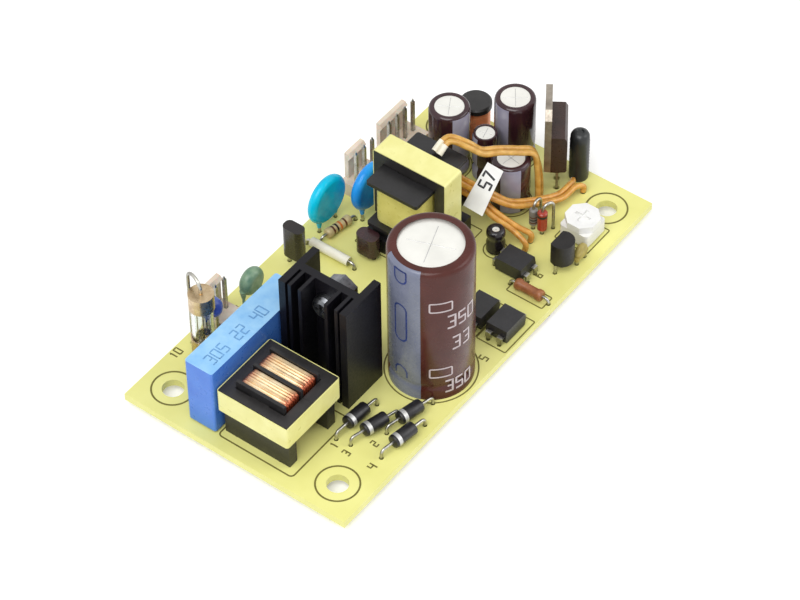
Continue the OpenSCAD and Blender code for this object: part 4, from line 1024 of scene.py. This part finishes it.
def small_can(node, pitch, angle, facing, width, sleeve, rim=1.1):
    """A sleeved can from its CAD box, its leads along an angle, its stripe centred
    on another and as wide as a number of degrees, and its sleeve's rim over the top."""
    low, high = mm(node)
    r = (high.x - low.x) / 2
    h = high.z - board_top
    place = Matrix.Translation(((low.x + high.x) / 2, (low.y + high.y) / 2, board_top))
    side = [
        (r - 1.2, 0.05), (r - 0.45, 0.1), (r - 0.04, 0.5), (r - 0.04, 2.4), (r - 0.36, 3.1),
        (r - 0.36, 3.7), (r - 0.04, 4.4), (r - 0.04, h - 0.9), (r - 0.14, h - 0.4),
        (r - 0.4 * rim, h - 0.08), (r - 0.72 * rim, h),
    ]
    bm = bmesh.new()
    turned(bm, place, [(0, 0.4)] + side + [
        (r - rim, h - 0.05), (r - rim - 0.04, h - 0.4), (0, h - 0.4)
    ], 64)
    turned(bm, place, [
        (0, h - 0.5), (r - rim - 0.1, h - 0.5), (r - rim - 0.1, h - 0.26),
        (r - rim - 0.5, h - 0.3), (0, h - 0.3),
    ], 64, 1)
    sector(bm, place, side[2:-2], facing - width / 2, facing + width / 2, 14, 2, lift=0.035)
    for a in (facing + 45, facing + 135):
        d = Vector((math.cos(math.radians(a)), math.sin(math.radians(a)), 0)) * (r - rim - 0.6)
        tube(bm, [place @ (d * s + Vector((0, 0, h - 0.3))) for s in (-1, 0, 1)], 0.06, 6, 3)
    d = Vector((math.cos(math.radians(angle)), math.sin(math.radians(angle)), 0)) * pitch / 2
    for s in (-1, 1):
        tube(bm, [place @ (d * s + Vector((0, 0, z))) for z in (0.5, -board_top)], leg, 10, 4)
    piece(node + "_can", bm, [sleeve, aluminium, lilac_print, grey_score, tinned], node)


small_can("output_capacitor_1", 3.5, -45, 255, 60, plum)
small_can("output_capacitor_2", 3.5, 90, 171, 52, plum)
small_can("output_capacitor_3", 2.2, 90, 150, 55, plum, rim=0.55)
small_can("output_capacitor_4", 3.5, 90, 215, 60, plum)
small_can("control_capacitor", 2.2, 0, 20, 60, dark_plum)


# ---------------------------------------------------------------------------
# Drum choke. A ferrite reel standing on its own leads, wound full of one layer
# after another of thick enamelled wire.
low, high = mm("output_choke_winding")
base = mm("output_choke_core")[0].z
centre = (low + high) / 2
r = (high.x - low.x) / 2
reel = bmesh.new()
place = Matrix.Translation((centre.x, centre.y, 0))
start = base + 1.5
reel_wire = 0.42
turns = int((high.z - start) / reel_wire) - 1
wound(
    reel, place, r - reel_wire / 2, r - reel_wire / 2, r - 0.22, start + reel_wire / 2, turns,
    reel_wire,
)
ring(reel, place, circle(0, 0, r - 0.25, 40), circle(0, 0, 1.6, 40), start, high.z - 0.05)
for s in (-1, 1):
    tube(reel, [(centre.x, centre.y + s * 2.4, z) for z in (start + 0.5, 0)], leg, 10, 1)
# Enamelled copper: bright orange, satin, ridged by the turns.
orange_copper = finish(
    "enamelled_copper_orange", "#ffb27e", "#ff9a62", 1.6, 0.34, grain=0.8, Metallic=0.2
)
piece("choke_coil", reel, [orange_copper, tinned], "output_choke_winding")


# ---------------------------------------------------------------------------
# Wrapped choke: a thin rod choke in a black shrunk sleeve that shows the ridges
# of the winding under it and is drawn in over its top.
low, high = mm("shrink_wrapped_choke")
centre = (low + high) / 2
r = (high.x - low.x) / 2
rod = bmesh.new()
profile = [(0, board_top), (r - 0.1, board_top + 0.02)]
steps = 22
for k in range(steps + 1):
    z = board_top + 0.4 + (high.z - board_top - 2.2) * k / steps
    profile.append((r - (0.02 if k % 2 else 0.09), z))
profile += [
    (r - 0.12, high.z - 1.0), (r - 0.36, high.z - 0.45), (r - 0.8, high.z - 0.1),
    (r - 1.2, high.z), (r - 1.4, high.z - 0.25), (0, high.z - 0.3),
]
turned(rod, (centre.x, centre.y, 0), profile, 40)
for s in (-1, 1):
    tube(rod, [(centre.x, centre.y + s * 1.2, z) for z in (board_top + 0.4, 0)], leg, 10, 1)
# Shrunk sleeve: charcoal, satin, slightly green in the light.
shrunk_black = finish(
    "shrunk_sleeve_black", "#26292a", "#1b1e1f", 2.5, 0.38, grain=0.5, relief=0.012
)
piece("wrapped_rod", rod, [shrunk_black, tinned], "shrink_wrapped_choke")


# ---------------------------------------------------------------------------
# Output rectifier. A power package that stands free on its own legs, with a dark
# moulded body on a tinned copper tab.
# Moulded epoxy: dark brown, satin. The tab is dull, warm grey metal.
body_foot, body_half_height, body_turn = 6.5, 4.6, 34
body_middle = Vector((43.74, -6.79, board_top + body_foot + body_half_height))
paint(on_leads(
    "moulded_epoxy_rectifier", body_middle, (5.2, 1.56, 4.61), body_turn,
    "#3a231b", "#2a1914", 2.5, 0.32, grain=0.3, relief=0.012,
    rest=("#b0a79a", "#8e857a", 2.0, 0.4),
), "output_rectifier")


# ---------------------------------------------------------------------------
# Trimmer. A white moulded base soldered by three pins carries an eight-sided
# white rotor with a cross for a screwdriver; its stops leave it 235 degrees.
# Moulded polyester: clean white, satin; the base is slightly warmer.
white_moulding = finish(
    "moulded_polyester_white", "#f4f4f2", "#e8e8e6", 2.5, 0.4, grain=0.4, relief=0.006
)
paint(on_leads(
    "moulded_trimmer_base", *above_board("trimmer_base", 0), 0,
    "#efeeea", "#e3e2de", 2.5, 0.45, grain=0.4, relief=0.006,
), "trimmer_base")
paint(white_moulding, "trimmer_rotor")


# ---------------------------------------------------------------------------
# Small control parts: a signal transistor, a buff ceramic disc and three tiny
# axial parts, two of them stood on end.
# Moulded epoxy: nearly black, satin. Dipped phenolic: olive buff, dull.
paint(on_leads(
    "moulded_epoxy_signal", *above_board("control_transistor", 2.2), 0,
    "#1f1c1c", "#151313", 2, 0.45, grain=0.3, relief=0.01, **{"Specular IOR Level": 0.35},
), "control_transistor")
paint(on_leads(
    "dipped_phenolic_buff", *above_board("ceramic_capacitor", 0.9), 0,
    "#b3a257", "#9a8a45", 1.2, 0.45, grain=0.4, relief=0.012,
), "ceramic_capacitor")


def standing(bm, x, y, offset, length, radius, stand, bands):
    """An axial part on end, its upper lead bent over and down at an offset."""
    foot = board_top + stand
    top = foot + length
    turned(bm, (x, y, foot), (
        (0, 0), (radius - 0.2, 0), (radius, 0.2), (radius, length - 0.2),
        (radius - 0.2, length), (0, length),
    ), 24)
    for low, high, index in bands:
        turned(bm, (x, y, foot), (
            (radius - 0.1, low), (radius + 0.01, low), (radius + 0.01, high), (radius - 0.1, high)
        ), 24, index, closed=True)
    tube(bm, [(x, y, foot + 0.2), (x, y, 0)], leg, 10, 1)
    reach = Vector((*offset, 0))
    bend = Vector((x, y, top + 0.3))
    path = [Vector((x, y, top - 0.3)), bend]
    path += [
        bend + reach * (1 - math.cos(a)) / 2 + Vector((0, 0, reach.length / 2 * math.sin(a)))
        for a in (math.radians(20 * k) for k in range(1, 9))
    ]
    path += [bend + reach, Vector((x, y, 0)) + reach]
    tube(bm, path, leg, 10, 1)


# Sealed glass: red and very glossy. Lacquered resistors: grey and rust, satin.
red_glass = finish("sealed_glass_red", "#b5402e", "#952c20", 1.0, 0.12, grain=0.5)
zener = bmesh.new()
standing(zener, 29.8, -12.8, (2.4, -0.9), 4.6, 0.98, 1.2, ((3.4, 4.0, 2),))
piece("red_diode", zener, [red_glass, tinned, black_band], "zener_diode")
grey_coat = finish("lacquered_resistor_grey", "#8d8a86", "#77746f", 1.2, 0.4, grain=0.3)
sense = bmesh.new()
standing(sense, 29.9, -10.65, (2.4, 0), 4, 0.83, 1.2, ((0.7, 1.0, 2), (1.4, 1.7, 3), (2.1, 2.4, 2)))
piece("grey_resistor", sense, [grey_coat, tinned, brown_band, black_band], "sense_resistor")
feedback = bmesh.new()
lying(feedback, 15.4, -20.0, 90, 6, 0.85, 1.2, 8.8, dog_bone(6, 0.98), BANDS)
rust_lacquer = finish("lacquered_resistor_rust", "#a8693f", "#8a5232", 1.0, 0.35, grain=0.3)
piece(
    "rust_resistor", feedback, [rust_lacquer, tinned, brown_band, black_band, buff],
    "feedback_resistor",
)


# ---------------------------------------------------------------------------
# Optocouplers and control chip. Moulded bodies with sloping sides and formed
# tinned legs, along X on the two optocouplers and along Y on the chip.
# Moulded epoxy: charcoal, satin. It ends at the body's sides, where the legs start.
leg_side, open_side, chip_half_height = 3.215, 9, 1.6
for node, name, x, y, half_x, half_y, light, dark in (
    ("optocouplers", "optocoupler", 5.4, -18.75, leg_side, open_side, "#29282b", "#1e1d20"),
    ("control_chip", "chip", 19, -14.15, open_side, leg_side, "#232225", "#19181b"),
):
    paint(on_leads(
        "moulded_epoxy_" + name, (x, y, board_top + 1.8), (half_x, half_y, chip_half_height), 0,
        light, dark, 2, 0.42, grain=0.3, relief=0.01,
    ), node)
